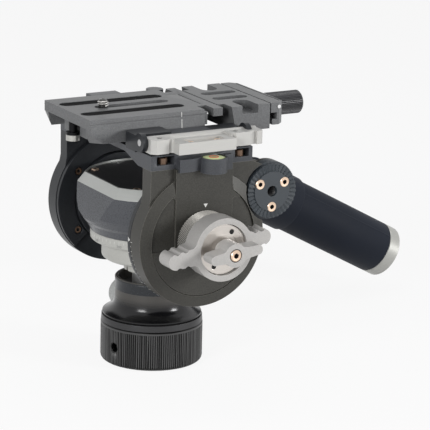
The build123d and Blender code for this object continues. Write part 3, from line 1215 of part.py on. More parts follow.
def bar_block(y, reach, top, chamfers):
    """One block of the lever bar on its barrel; chamfers cuts its outer corners at both ends."""
    front, rear = chamfers
    outer = PIN_X + reach
    plan = [(PIN_X, y[0]), (outer - front, y[0]), (outer, y[0] + front),
            (outer, y[1] - rear), (outer - rear, y[1]), (PIN_X, y[1])]
    return prism_z(plan, BAR_BOTTOM, top) + disc_y(BAR_BARREL_RADIUS, y[0], y[1], PIN_X, PIN_Z)


def bar_notch(y):
    """Upright rounded groove in the bar's outer face, where two of its blocks meet."""
    return disc_z(BAR_NOTCH_RADIUS, BAR_BOTTOM - OVERRUN, BAR_TOP + OVERRUN, PIN_X + BAR_STEP_REACH, y)


def clamp_bar():
    """Silver lever bar: stepped blocks on a barrel that turns on the pin."""
    slight = RUNNING_FIT
    bar = bar_block((BAR_FRONT, BAR_MIDDLE_FRONT), BAR_STEP_REACH, BAR_TOP, (BAR_FRONT_CHAMFER, slight))
    bar += bar_block((BAR_MIDDLE_REAR, BAR_REAR), BAR_STEP_REACH, BAR_REAR_TOP, (slight, slight))
    bar += bar_block((BAR_TAB_FRONT, BAR_TAB_REAR), BAR_STEP_REACH, BAR_REAR_TOP, (slight, BAR_TAB_CHAMFER))
    neck_x = [PIN_X + reach for reach in BAR_NECK_REACHES]
    bar += block(neck_x, (BAR_REAR, BAR_TAB_FRONT), (BAR_BOTTOM, BAR_REAR_TOP))
    for y in (BAR_MIDDLE_FRONT - BAR_NOTCH_RADIUS, BAR_MIDDLE_REAR + BAR_NOTCH_RADIUS):
        bar -= bar_notch(y)
    bar += bar_block((BAR_MIDDLE_FRONT, BAR_MIDDLE_REAR), BAR_MIDDLE_REACH, BAR_MIDDLE_TOP, (slight, slight))
    pocket_x = [PIN_X + reach for reach in BAR_POCKET_REACHES]
    bar -= block(pocket_x, BAR_POCKET_Y, (BAR_MIDDLE_TOP - BAR_POCKET_DEPTH, BAR_MIDDLE_TOP + OVERRUN))
    for y, top in zip(BAR_HOLE_Y, (BAR_TOP, BAR_REAR_TOP)):
        bar -= disc_z(BAR_HOLE_RADIUS, top - BAR_HOLE_DEPTH, top + OVERRUN, PIN_X + BAR_HOLE_REACH, y)
    return bar - disc_y(PIN_RADIUS + RUNNING_FIT, BAR_FRONT - OVERRUN, BAR_TAB_FRONT, PIN_X, PIN_Z)


def clamp_bar_screws():
    floor = BAR_MIDDLE_TOP - BAR_POCKET_DEPTH
    socket_low = floor + BAR_SCREW_HEIGHT * (1 - SOCKET_DEPTH_SHARE)
    x = PIN_X + BAR_SCREW_REACH
    screws = Part()
    for y in BAR_SCREW_Y:
        screws += disc_z(BAR_SCREW_RADIUS, floor, floor + BAR_SCREW_HEIGHT, x, y)
        screws -= disc_z(BAR_SCREW_RADIUS * SOCKET_SHARE, socket_low, BAR_MIDDLE_TOP, x, y)
    return screws


# Camera plate
def scoop_plane(side, above, below):
    """Plane that takes the front corner off a leg between two places of the scoop, given as shares."""
    def flank(drop, back):
        z = CAMERA_SCOOP_TOP - (CAMERA_SCOOP_TOP - CAMERA_LEG_BOTTOM) * drop
        lean = CAMERA_FLARE * (CAMERA_TOP - z) / (CAMERA_TOP - CAMERA_LEG_BOTTOM)
        return Vector(side * (CAMERA_HALF_WIDTH + lean), CAMERA_FRONT + CAMERA_SCOOP_LENGTH * back, z)

    top = flank(*above)
    outer = flank(*below)
    inner = Vector(side * CAMERA_LEG_INNER, CAMERA_FRONT + CAMERA_SCOOP_INNER_LENGTH * below[1], outer.Z)
    normal = (outer - top).cross(inner - top)
    return Plane(origin=top, z_dir=normal * (-1 if normal.Y > 0 else 1))


def leg(side):
    """One side leg whose flank leans out towards its foot, with its lower front corner scooped off."""
    outline = [(side * CAMERA_LEG_INNER, CAMERA_DECK_BOTTOM), (side * CAMERA_LEG_INNER, CAMERA_LEG_BOTTOM),
               (side * CAMERA_FOOT_HALF_WIDTH, CAMERA_LEG_BOTTOM), (side * CAMERA_HALF_WIDTH, CAMERA_TOP),
               (side * CAMERA_LEG_INNER, CAMERA_TOP)]
    body = prism_y(outline, CAMERA_FRONT, CAMERA_LEG_REAR)
    for above, below in zip(CAMERA_SCOOP_SHARES, CAMERA_SCOOP_SHARES[1:]):
        body = split(body, bisect_by=scoop_plane(side, above, below), keep=Keep.BOTTOM)
    groove_x = (side * (CAMERA_HALF_WIDTH - EDGE_GROOVE_DEPTH), side * (CAMERA_FOOT_HALF_WIDTH + OVERRUN))
    groove_y = (CAMERA_FRONT - OVERRUN, CAMERA_LEG_REAR + OVERRUN)
    groove_low = CAMERA_TOP - EDGE_GROOVE_DROP
    body -= block(groove_x, groove_y, (groove_low, groove_low + EDGE_GROOVE_WIDTH))
    end_x = (side * CAMERA_LEG_INNER, side * CAMERA_HALF_WIDTH)
    end_y = (CAMERA_LEG_REAR, CAMERA_LEG_REAR + END_LUG_LENGTH)
    end_high = CAMERA_TOP - END_LUG_DROP
    return body + block(end_x, end_y, (end_high - END_LUG_HEIGHT, end_high))


def plate_end_pins():
    """Small pins that stand out of the legs' rear ends."""
    low = CAMERA_LEG_REAR + END_LUG_LENGTH
    x = CAMERA_HALF_WIDTH - END_PIN_INSET
    z = CAMERA_TOP - END_PIN_DROP
    return sum((disc_y(END_PIN_RADIUS, low, low + END_PIN_PROUD, side * x, z) for side in (-1, 1)), Part())


def camera_plate():
    """Deck with its slots, the channelled rib under it, two legs and the hook at its rear end."""
    half = CAMERA_HALF_WIDTH
    thickness = (CAMERA_DECK_BOTTOM, CAMERA_TOP)
    deck = block((-half, half), (CAMERA_FRONT, CAMERA_LEG_REAR), thickness)
    deck += block((-HOOK_NOTCH_INNER, HOOK_NOTCH_INNER), (CAMERA_LEG_REAR, CAMERA_REAR), thickness)
    deck += block((-half, half), (HOOK_FRONT, HOOK_REAR), (HOOK_BOTTOM, CAMERA_TOP))
    rib = CAMERA_RIB_HALF_WIDTH
    rib_y = (CAMERA_FRONT + CAMERA_RIB_INSET, CAMERA_LEG_REAR)
    deck += block((-rib, rib), rib_y, (CAMERA_RIB_BOTTOM, CAMERA_DECK_BOTTOM))
    channel = CAMERA_CHANNEL_HALF_WIDTH
    channel_y = (CAMERA_FRONT - OVERRUN, CAMERA_LEG_REAR + OVERRUN)
    deck -= block((-channel, channel), channel_y, (CAMERA_RIB_BOTTOM - OVERRUN, CAMERA_DECK_BOTTOM))
    above = CAMERA_TOP + OVERRUN
    grip_floor = CAMERA_TOP - GRIP_SLOT_DEPTH
    for x in (-GRIP_SLOT_X, GRIP_SLOT_X):
        deck -= slot_z(x, GRIP_SLOT_FRONT, GRIP_SLOT_REAR, GRIP_SLOT_WIDTH, grip_floor, above)
    below = CAMERA_DECK_BOTTOM - OVERRUN
    deck -= slot_z(0, CENTRE_SLOT_FRONT, CENTRE_SLOT_REAR, CENTRE_SLOT_WIDTH, below, above)
    seam_y = HOOK_FRONT - SEAM_SLOT_OFFSET
    seam = (seam_y - SEAM_SLOT_WIDTH / 2, seam_y + SEAM_SLOT_WIDTH / 2)
    deck -= block(SEAM_SLOT_X, seam, (CAMERA_TOP - SEAM_SLOT_DEPTH, above))
    deck -= block((-half, half), (HOOK_REAR, CAMERA_REAR + OVERRUN), (CAMERA_TOP - SEAM_SLOT_DEPTH, above))
    screw_top = CAMERA_DECK_BOTTOM + STOP_SCREW_SHANK
    deck -= disc_z(STOP_SCREW_SHANK, below, screw_top, 0, STOP_SCREW_Y)
    return deck + leg(-1) + leg(1)


def grip_strips():
    low = CAMERA_TOP - GRIP_SLOT_DEPTH
    high = CAMERA_TOP - GRIP_STRIP_SINK
    return sum((slot_z(x, GRIP_SLOT_FRONT, GRIP_SLOT_REAR, GRIP_SLOT_WIDTH, low, high)
                for x in (-GRIP_SLOT_X, GRIP_SLOT_X)), Part())


def camera_screw():
    """Camera screw: a low head under the deck, a thin neck in the centre slot and a threaded end."""
    head_top = CAMERA_DECK_BOTTOM - BODY_GAP
    head_low = head_top - CAMERA_SCREW_HEAD_HEIGHT
    neck = CAMERA_SCREW_RADIUS - CAMERA_SCREW_UNDERCUT
    shoulder = CAMERA_TOP + BODY_GAP
    flat = CAMERA_SCREW_RADIUS - CAMERA_SCREW_TIP_CHAMFER
    profile = [(0, head_low), (CAMERA_SCREW_HEAD_RADIUS, head_low), (CAMERA_SCREW_HEAD_RADIUS, head_top),
               (neck, head_top), (neck, shoulder), (CAMERA_SCREW_RADIUS, shoulder),
               (CAMERA_SCREW_RADIUS, CAMERA_SCREW_TOP - CAMERA_SCREW_TIP_CHAMFER), (flat, CAMERA_SCREW_TOP),
               (0, CAMERA_SCREW_TOP)]
    return Pos(0, CAMERA_SCREW_Y, 0) * turned_z(profile)


def stop_screw():
    head = disc_z(STOP_SCREW_RADIUS, STOP_SCREW_BOTTOM, STOP_SCREW_TOP, 0, STOP_SCREW_Y)
    shank_top = CAMERA_DECK_BOTTOM + STOP_SCREW_SHANK
    return head + disc_z(STOP_SCREW_SHANK, STOP_SCREW_TOP, shank_top, 0, STOP_SCREW_Y)


# Rear clamp
def guide_pin_holes():
    holes = Part()
    for x in (-GUIDE_PIN_X, GUIDE_PIN_X):
        holes += disc_y(GUIDE_PIN_RADIUS + RUNNING_FIT, JAW_BLOCK_FRONT - GUIDE_PIN_LENGTH - OVERRUN,
                        REAR_BODY_REAR + OVERRUN, x, GUIDE_PIN_Z)
    return holes


def rear_recess(side):
    """Rounded recess that opens through one flank of the rear clamp."""
    front = REAR_BODY_FRONT + REAR_RECESS_INSET
    radius = REAR_RECESS_WIDTH / 2
    depth = (CAMERA_TOP - REAR_RECESS_DEPTH, CAMERA_TOP + OVERRUN)
    start = side * (REAR_RECESS_X + radius)
    beyond = side * (REAR_BODY_HALF_WIDTH + OVERRUN)
    opening = block((start, beyond), (front, front + REAR_RECESS_WIDTH), depth)
    return opening + disc_z(radius, *depth, start, front + radius)


def knob_screw_hole(low, high):
    return disc_y(KNOB_SCREW_RADIUS + RUNNING_FIT, low, high, 0, KNOB_AXIS_Z)


def rear_clamp_body():
    """Block behind the camera plate, with a neck to it, two slots and two side recesses."""
    half = REAR_BODY_HALF_WIDTH
    outline = [(REAR_BODY_FRONT, CAMERA_TOP), (REAR_BODY_FRONT_LOW, REAR_BODY_BOTTOM),
               (REAR_BODY_REAR, REAR_BODY_BOTTOM), (REAR_BODY_REAR, CAMERA_TOP)]
    body = prism_x(outline, -half, half)
    neck = REAR_NECK_HALF_WIDTH
    body += block((-neck, neck), (CAMERA_REAR, REAR_BODY_FRONT_LOW), (CAMERA_DECK_BOTTOM, CAMERA_TOP))
    slot_y = (REAR_BODY_FRONT + REAR_SLOT_INSETS[0], REAR_BODY_REAR - REAR_SLOT_INSETS[1])
    slot_depth = (CAMERA_TOP - REAR_SLOT_DEPTH, CAMERA_TOP + OVERRUN)
    for side in (-1, 1):
        body -= slot_z(side * REAR_SLOT_X, *slot_y, REAR_SLOT_WIDTH, *slot_depth)
        body -= rear_recess(side)
    body -= knob_screw_hole(REAR_BODY_REAR - KNOB_SCREW_REACH, REAR_BODY_REAR + OVERRUN)
    return body - guide_pin_holes()


def rear_jaw():
    """Sliding end jaw: a top plate, a waist and a lower lug."""
    front = JAW_BLOCK_FRONT
    rear = JAW_BLOCK_REAR
    outline = [(front, CAMERA_TOP), (rear, CAMERA_TOP), (rear, JAW_LUG_BOTTOM),
               (JAW_LUG_FRONT, JAW_LUG_BOTTOM), (JAW_LUG_FRONT, JAW_LUG_TOP),
               (JAW_BLOCK_WAIST_FRONT, JAW_LUG_TOP),
               (JAW_BLOCK_WAIST_FRONT, CAMERA_DECK_BOTTOM), (front, CAMERA_DECK_BOTTOM)]
    half = JAW_BLOCK_HALF_WIDTH
    inner = half - JAW_BLOCK_CHAMFER
    plan = [(-half, front), (half, front), (half, rear - JAW_BLOCK_CHAMFER), (inner, rear), (-inner, rear),
            (-half, rear - JAW_BLOCK_CHAMFER)]
    jaw = prism_x(outline, -half, half) & prism_z(plan, JAW_LUG_BOTTOM, CAMERA_TOP)
    groove_y = front + JAW_GROOVE_INSET
    groove = (groove_y - SEAM_SLOT_WIDTH / 2, groove_y + SEAM_SLOT_WIDTH / 2)
    jaw -= block((-inner, inner), groove, (CAMERA_TOP - SEAM_SLOT_DEPTH, CAMERA_TOP + OVERRUN))
    return jaw - knob_screw_hole(front - OVERRUN, rear + OVERRUN)


def rear_jaw_pins():
    """Two guide pins that slide in the clamp body and the small pin ends on the jaw's flanks."""
    tip = JAW_BLOCK_FRONT - GUIDE_PIN_LENGTH
    end = JAW_BLOCK_HALF_WIDTH
    end_place = (JAW_BLOCK_FRONT + JAW_PIN_INSET, CAMERA_TOP - JAW_PIN_DROP)
    pins = Part()
    for side in (-1, 1):
        pins += disc_y(GUIDE_PIN_RADIUS, tip, JAW_BLOCK_WAIST_FRONT, side * GUIDE_PIN_X, GUIDE_PIN_Z)
        pins += disc_x(END_PIN_RADIUS, side * end, side * (end + END_PIN_PROUD), *end_place)
    return pins


def rear_knob():
    """Knob moulded onto the screw that draws the jaw in."""
    low = JAW_BLOCK_REAR + BODY_GAP
    flat = KNOB_RADIUS - KNOB_CHAMFER
    tip = REAR_BODY_REAR - KNOB_SCREW_REACH + BODY_GAP
    profile = [(tip, 0), (tip, KNOB_SCREW_RADIUS), (low, KNOB_SCREW_RADIUS), (low, flat),
               (low + KNOB_CHAMFER, KNOB_RADIUS), (KNOB_END - KNOB_CHAMFER, KNOB_RADIUS), (KNOB_END, flat),
               (KNOB_END, 0)]
    return turned_y(profile, 0, KNOB_AXIS_Z)


# Pan handle
def along_handle(shape):
    """Lay a piece made along +Y onto the handle's line."""
    return Pos(HANDLE_X, ROSETTE_Y, ROSETTE_Z) * Rot(-HANDLE_DROP, 0, 0) * shape


def handle_head():
    """Clamp disc and the round head that holds the tube."""
    head = disc_x(ROSETTE_RADIUS, HANDLE_DISC_BACK, HANDLE_FACE, ROSETTE_Y, ROSETTE_Z)
    head += disc_x(HANDLE_HEAD_RADIUS, HANDLE_HEAD_OUTER, HANDLE_DISC_BACK, ROSETTE_Y, ROSETTE_Z)
    head -= along_handle(disc_y(HANDLE_TUBE_RADIUS, HANDLE_TUBE_RADIUS, 2 * HANDLE_HEAD_RADIUS))
    return head - disc_x(BOLT_RADIUS, HANDLE_HEAD_OUTER - OVERRUN, HANDLE_FACE + OVERRUN, ROSETTE_Y, ROSETTE_Z)


def handle_tube():
    """Hollow tube that grows thicker under the grip."""
    start = HANDLE_NECK_LENGTH
    wall = HANDLE_TUBE_WALL
    tube = disc_y(HANDLE_TUBE_RADIUS, HANDLE_TUBE_RADIUS, start) + disc_y(GRIP_CORE_RADIUS, start, GRIP_END)
    tube -= disc_y(HANDLE_TUBE_RADIUS - wall, HANDLE_TUBE_RADIUS - OVERRUN, start + wall)
    tube -= disc_y(GRIP_CORE_RADIUS - wall, start + wall, GRIP_END + OVERRUN)
    return along_handle(tube)


def handle_grip():
    """Rubber sleeve with a thicker, rounded collar at its front."""
    collar_end = HANDLE_NECK_LENGTH + GRIP_COLLAR_LENGTH
    grip = disc_y(GRIP_RADIUS + GRIP_COLLAR_PROUD, HANDLE_NECK_LENGTH, collar_end)
    front = grip.edges().filter_by(GeomType.CIRCLE).sort_by(Axis.Y)[0]
    grip = fillet(front, GRIP_ROUND) + disc_y(GRIP_RADIUS, collar_end, GRIP_END)
    return along_handle(grip - disc_y(GRIP_CORE_RADIUS, HANDLE_NECK_LENGTH, GRIP_END))


def handle_end_cap():
    end = GRIP_END + END_CAP_LENGTH
    flat = GRIP_RADIUS - END_CAP_CHAMFER
    profile = [(GRIP_END, 0), (GRIP_END, GRIP_RADIUS), (end - END_CAP_CHAMFER, GRIP_RADIUS), (end, flat),
               (end, 0)]
    return along_handle(turned_y(profile))


def handle_bolt():
    """Clamp bolt through the head into the rosette's thread."""
    tip = HANDLE_THREAD_DEPTH - BODY_GAP - ROSETTE_FACE
    shank = disc_x(BOLT_RADIUS, HANDLE_HEAD_OUTER, tip, ROSETTE_Y, ROSETTE_Z)
    head_end = HANDLE_HEAD_OUTER - BOLT_HEAD_THICKNESS
    return shank + disc_x(BOLT_HEAD_RADIUS, head_end, HANDLE_HEAD_OUTER, ROSETTE_Y, ROSETTE_Z)


NODES = {
    "base_plate": base_plate,
    "base_screws": base_screws,
    "base_lock_ring": base_lock_ring,
    "base_collar": base_collar,
    "pan_housing": pan_housing,
    "pan_bush": pan_bush,
    "pan_lock_knob": pan_lock_knob,
    "pan_lock_stem": pan_lock_stem,
    "pan_spindle": pan_spindle,
    "pan_spindle_nut": pan_spindle_nut,
    "pan_journal": pan_journal,
    "pan_lower_ring": pan_lower_ring,
    "pan_scale_ring": pan_scale_ring,
    "drum_shell": drum_shell,
    "drum_trim": drum_trim,
    "drum_cap": drum_cap,
    "drum_cap_screws": cap_screws,
    "tilt_scale_ring": tilt_scale_ring,
    "far_flange": far_flange,
    "tilt_shaft": tilt_shaft,
    "tilt_damper": tilt_damper,
    "counterbalance_spring": counterbalance_spring,
    "shaft_nut": shaft_nut,
    "shaft_screw": shaft_screw,
    "control_side_plate": control_side_plate,
    "control_side_cover": control_side_cover,
    "tilt_bushes": tilt_bushes,
    "control_rosette": control_rosette,
    "handle_side_rosette": handle_side_rosette,
    "rosette_screws": rosette_screws,
    "far_side_plate": far_side_plate,
    "far_side_ring": far_side_ring,
    "far_ring_screws": far_ring_screws,
    "platform": platform,
    "platform_screws": platform_screws,
    "level_bracket": level_bracket,
    "level_vial": level_vial,
    "far_clamp_rail": far_clamp_rail,
    "friction_dial": friction_dial,
    "tilt_lock_lever": tilt_lock_lever,
    "shaft_lever": shaft_lever,
    "clamp_jaw": clamp_jaw,
    "clamp_hinge_block": clamp_hinge_block,
    "clamp_pin": clamp_pin,
    "clamp_bar": clamp_bar,
    "clamp_bar_screws": clamp_bar_screws,
    "camera_plate": camera_plate,
    "plate_end_pins": plate_end_pins,
    "grip_strips": grip_strips,
    "camera_screw": camera_screw,
    "stop_screw": stop_screw,
    "rear_clamp_body": rear_clamp_body,
    "rear_jaw": rear_jaw,
    "rear_jaw_pins": rear_jaw_pins,
    "rear_knob": rear_knob,
    "handle_head": handle_head,
    "handle_tube": handle_tube,
    "handle_grip": handle_grip,
    "handle_end_cap": handle_end_cap,
    "handle_bolt": handle_bolt,
}

os.makedirs("parts", exist_ok=True)
for name, make in NODES.items():
    export_step(make(), f"parts/{name}.step")
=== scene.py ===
"""Looks of a fluid video head: detailed pieces, procedural finishes, a plain studio and the camera."""
import json
import logging
import math
from dataclasses import dataclass
from enum import Enum
from typing import Any, Callable, Iterable, Optional, Sequence

import bmesh
import bpy
from mathutils import Matrix, Vector


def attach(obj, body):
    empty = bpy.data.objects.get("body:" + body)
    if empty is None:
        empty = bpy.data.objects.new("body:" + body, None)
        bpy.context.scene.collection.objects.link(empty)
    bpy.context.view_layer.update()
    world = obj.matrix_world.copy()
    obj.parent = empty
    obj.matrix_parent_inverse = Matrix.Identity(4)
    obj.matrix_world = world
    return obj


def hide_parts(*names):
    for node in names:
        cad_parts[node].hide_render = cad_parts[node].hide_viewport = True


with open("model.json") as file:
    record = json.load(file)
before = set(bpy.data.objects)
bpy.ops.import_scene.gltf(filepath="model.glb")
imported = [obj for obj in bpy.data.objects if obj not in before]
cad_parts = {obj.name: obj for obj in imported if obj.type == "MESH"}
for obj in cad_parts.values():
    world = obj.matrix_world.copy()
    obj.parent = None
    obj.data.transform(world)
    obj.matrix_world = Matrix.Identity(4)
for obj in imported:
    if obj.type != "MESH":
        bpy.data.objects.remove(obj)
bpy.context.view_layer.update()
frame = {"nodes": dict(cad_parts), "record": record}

LOG = logging.getLogger("video_head")
MM = 0.001
POINT = tuple[float, float]
PLACE = tuple[float, float, float]

# Points that the turning lines and the level stand on, in millimetres.
TILT_HEIGHT = 87.7
PAN_LINE: PLACE = (0.0, 0.0, 0.0)
TILT_LINE: PLACE = (0.0, 0.0, TILT_HEIGHT)
KNOB_LINE: PLACE = (0.0, 0.0, 147.3)
CAMERA_SCREW_LINE: PLACE = (0.0, -34.0, 0.0)
VIAL_TOP: PLACE = (62.1, 4.8, 136.0)

# How far the sockets of a row of screws are turned, so that no two stand alike, in radians.
FIRST_SPIN = 0.4
NEXT_SPIN = 1.3

# Stands what is drawn flat up, so that it faces -Y.
UPRIGHT = Matrix.Rotation(math.pi / 2, 4, "X")


class Line(Enum):
    """Direction that the axis of a turned piece takes on the object."""

    ALONG_X = "X"
    ALONG_Y = "Y"
    ALONG_Z = "Z"

    def placing(self, at: PLACE = (0.0, 0.0, 0.0)) -> Matrix:
        """Matrix that lays a piece made round +Z onto this line through a point in millimetres."""
        turns = {
            Line.ALONG_X: Matrix.Rotation(math.pi / 2, 4, "Y"),
            Line.ALONG_Y: Matrix.Rotation(-math.pi / 2, 4, "X"),
            Line.ALONG_Z: Matrix.Identity(4),
        }
        return Matrix.Translation(Vector(at)) @ turns[self]


class Slot(Enum):
    """Material slots of the record."""

    BLACK = "black_anodised"
    WARM = "warm_grey_anodised"
    SLATE = "slate_anodised"
    SILVER = "silver_anodised"
    MACHINED = "machined_silver"
    DRUM = "drum_dark"
    ROSETTE = "rosette_dark"
    BLACK_PLASTIC = "black_plastic"
    GREY_PLASTIC = "grey_plastic"
    STEEL = "steel"
    COPPER = "copper_screw"
    GRIP = "rubber_grip"
    STRIP = "rubber_strip"
    GLASS = "level_glass"


class Wire:
    """Output socket whose arithmetic adds Math nodes."""

    def __init__(self, net: "Net", socket: bpy.types.NodeSocket) -> None:
        """Wrap a socket of the net's node tree."""
        self.net = net
        self.socket = socket

    def _math(self, operation: str, first: Any, second: Any = 0.0) -> "Wire":
        """Join two values by a Math node."""
        return self.net.wire("ShaderNodeMath", {"operation": operation}, {0: first, 1: second})

    def __add__(self, other: Any) -> "Wire":
        """Sum."""
        return self._math("ADD", self, other)

    __radd__ = __add__

    def __mul__(self, other: Any) -> "Wire":
        """Product."""
        return self._math("MULTIPLY", self, other)

    __rmul__ = __mul__

    def __sub__(self, other: Any) -> "Wire":
        """Difference."""
        return self._math("SUBTRACT", self, other)

    def __rsub__(self, other: Any) -> "Wire":
        """Difference from a plain value."""
        return self._math("SUBTRACT", other, self)

    def __pow__(self, other: float) -> "Wire":
        """Power."""
        return self._math("POWER", self, other)

    def root(self) -> "Wire":
        """Square root."""
        return self._math("SQRT", self)

    def sine(self) -> "Wire":
        """Sine of a value in radians."""
        return self._math("SINE", self)

    def held(self) -> "Wire":
        """Value kept between 0 and 1."""
        return self._math("MINIMUM", self._math("MAXIMUM", self, 0.0), 1.0)


class Net:
    """Node tree of one finish."""

    def __init__(self, material: bpy.types.Material) -> None:
        """Start an empty tree in the material."""
        material.use_nodes = True
        self.tree = material.node_tree
        self.tree.nodes.clear()

    def node(self, kind: str, settings: Optional[dict[str, Any]] = None,
             inputs: Optional[dict[Any, Any]] = None) -> bpy.types.ShaderNode:
        """Add a node.

        Args:
            kind: type of the node.
            settings: the node's own settings, set before its sockets.
            inputs: value or Wire of each input socket, by name or number.

        Returns:
            The new node.
        """
        made = self.tree.nodes.new(kind)
        for name, value in (settings or {}).items():
            if name == "stops":
                self._ramp(made, value)
            else:
                setattr(made, name, value)
        for key, value in (inputs or {}).items():
            if isinstance(value, Wire):
                self.tree.links.new(value.socket, made.inputs[key])
            else:
                made.inputs[key].default_value = value
        return made

    @staticmethod
    def _ramp(made: bpy.types.ShaderNode, stops: Sequence[tuple[float, float]]) -> None:
        """Set the grey stops of a ramp, given as (place, value)."""
        points = made.color_ramp.elements
        while len(points) < len(stops):
            points.new(1.0)
        for point, (place, value) in zip(points, stops):
            point.position = place
            point.color = (value, value, value, 1.0)

    def wire(self, kind: str, settings: Optional[dict[str, Any]] = None,
             inputs: Optional[dict[Any, Any]] = None, output: Any = 0) -> Wire:
        """Add a node and return one of its outputs."""
        return Wire(self, self.node(kind, settings, inputs).outputs[output])

    def place(self) -> Wire:
        """Object coordinates, in metres."""
        return self.wire("ShaderNodeTexCoord", output="Object")

    def stretched(self, scale: PLACE) -> Wire:
        """Object coordinates scaled along each axis."""
        return self.wire("ShaderNodeMapping", None, {"Vector": self.place(), "Scale": scale})

    def away(self, line: Line, centre: PLACE) -> Wire:
        """Distance in metres from a line through a point in millimetres."""
        shifted = self.wire("ShaderNodeVectorMath", {"operation": "SUBTRACT"},
                            {0: self.place(), 1: tuple(value * MM for value in centre)})
        split = self.node("ShaderNodeSeparateXYZ", None, {0: shifted})
        across = [Wire(self, split.outputs[n]) for n, other in enumerate(Line) if other is not line]
        return (across[0] * across[0] + across[1] * across[1]).root()

    def noise(self, scale: float, detail: float = 2.0, vector: Optional[Wire] = None) -> Wire:
        """Noise between 0 and 1 whose features are about 1/scale metres wide."""
        return self.wire("ShaderNodeTexNoise", None,
                         {"Vector": vector or self.place(), "Scale": scale, "Detail": detail})

    def mix(self, factor: Any, first: Any, second: Any) -> Wire:
        """Mix two colours."""
        return self.wire("ShaderNodeMix", {"data_type": "RGBA"}, {0: factor, 6: first, 7: second}, 2)

    def ramp(self, factor: Wire, stops: Sequence[tuple[float, float]]) -> Wire:
        """Grey ramp over a factor."""
        return self.wire("ShaderNodeValToRGB", {"stops": stops}, {0: factor})

    def edge(self, width: float) -> Wire:
        """Mask that is 1 on sharp edges and 0 on flats; width is in millimetres."""
        rounded = self.wire("ShaderNodeBevel", {"samples": 4}, {"Radius": width * MM})
        flat = self.wire("ShaderNodeNewGeometry", output="Normal")
        agree = self.wire("ShaderNodeVectorMath", {"operation": "DOT_PRODUCT"}, {0: rounded, 1: flat}, 1)
        return ((1.0 - agree) * 6.0).held()

    def bump(self, height: Wire, depth: float, strength: float = 1.0) -> Wire:
        """Normal of a relief whose full height is depth millimetres."""
        return self.wire("ShaderNodeBump", None,
                         {"Height": height, "Strength": strength, "Distance": depth * MM})

    def surface(self, constants: Optional[dict[str, Any]] = None, **varying: Any) -> None:
        """Close the tree with a Principled BSDF.

        Args:
            constants: socket values that are the same all over.
            varying: values or Wires by socket name, with _ for a space.
        """
        inputs = {name.replace("_", " "): value for name, value in varying.items()}
        inputs.update(constants or {})
        shader = self.node("ShaderNodeBsdfPrincipled", None, inputs)
        output = self.node("ShaderNodeOutputMaterial")
        self.tree.links.new(shader.outputs[0], output.inputs["Surface"])


@dataclass(frozen=True)
class Tone:
    """Colour as it reads on a screen, 0 to 255."""

    red: float
    green: float
    blue: float

    def linear(self, gain: float = 1.0) -> tuple[float, float, float, float]:
        """Scene-linear colour, made lighter or darker by a gain."""
        shades = []
        for value in (self.red, self.green, self.blue):
            share = value / 255.0
            light = share / 12.92 if share <= 0.04045 else ((share + 0.055) / 1.055) ** 2.4
            shades.append(min(light * gain, 1.0))
        return (shades[0], shades[1], shades[2], 1.0)


@dataclass(frozen=True)
class Finish:
    """Base of all finishes: a tone, how rough it is and how metallic."""

    name: str
    tone: Tone
    roughness: float = 0.5
    metallic: float = 0.0

    def material(self) -> bpy.types.Material:
        """Material of this finish, made once."""
        found = bpy.data.materials.get(self.name)
        if found is None:
            found = bpy.data.materials.new(self.name)
            self.lay(Net(found))
        return found

    def lay(self, net: Net) -> None:
        """Build the nodes of the finish."""
        raise NotImplementedError


@dataclass(frozen=True)
class Blasted(Finish):
    """Bead-blasted and anodised metal, speckled, with lighter edges: partly rubbed, partly painted highlight.
    """

    grain: float = 1900.0
    spread: float = 0.35
    depth: float = 0.012
    worn: float = 1.9
    wear: float = 0.35
    specular: float = 0.32

    def lay(self, net: Net) -> None:
        """Speckle and cloud the tone, lighten its edges as rubbing and painted highlight, and roughen it."""
        grain = net.noise(self.grain, 2.0)
        cloud = net.noise(38.0, 3.0)
        shade = ((grain - 0.5) * 2.2 + (cloud - 0.5) * 0.8 + 0.5).held()
        body = net.mix(shade, self.tone.linear(1.0 - self.spread), self.tone.linear(1.0 + self.spread))
        edge = net.edge(0.35) * (0.5 + cloud) * self.wear
        colour = net.mix(edge.held(), body, self.tone.linear(self.worn))
        rough = (grain - 0.5) * 0.16 + (cloud - 0.5) * 0.10 + self.roughness
        net.surface({"Specular IOR Level": self.specular}, Base_Color=colour, Roughness=rough,
                    Metallic=self.metallic, Normal=net.bump(grain, self.depth))


@dataclass(frozen=True)
class Stepped(Finish):
    """Metal with one tone below a height and another above it."""

    upper: Tone = Tone(60, 60, 60)
    level: float = 40.0
    blend: float = 1.0
    lower_roughness: float = 0.3
    depth: float = 0.004

    def lay(self, net: Net) -> None:
        """Mix both tones by the height and roughen the upper one."""
        split = net.node("ShaderNodeSeparateXYZ", None, {0: net.place()})
        above = ((Wire(net, split.outputs[2]) - self.level * MM) * (1.0 / (self.blend * MM)) + 0.5).held()
        grain = net.noise(1900.0, 2.0)
        cloud = net.noise(40.0, 3.0)
        body = net.mix(above, self.tone.linear(), self.upper.linear())
        shade = ((grain - 0.5) * 1.6 + (cloud - 0.5) * 0.6 + 0.5).held()
        dark = net.mix(above, self.tone.linear(0.85), self.upper.linear(0.85))
        colour = net.mix(shade, dark, body)
        rough = above * (self.roughness - self.lower_roughness) + self.lower_roughness + (grain - 0.5) * 0.06
        net.surface(None, Base_Color=colour, Roughness=rough, Metallic=self.metallic,
                    Normal=net.bump(grain, self.depth))


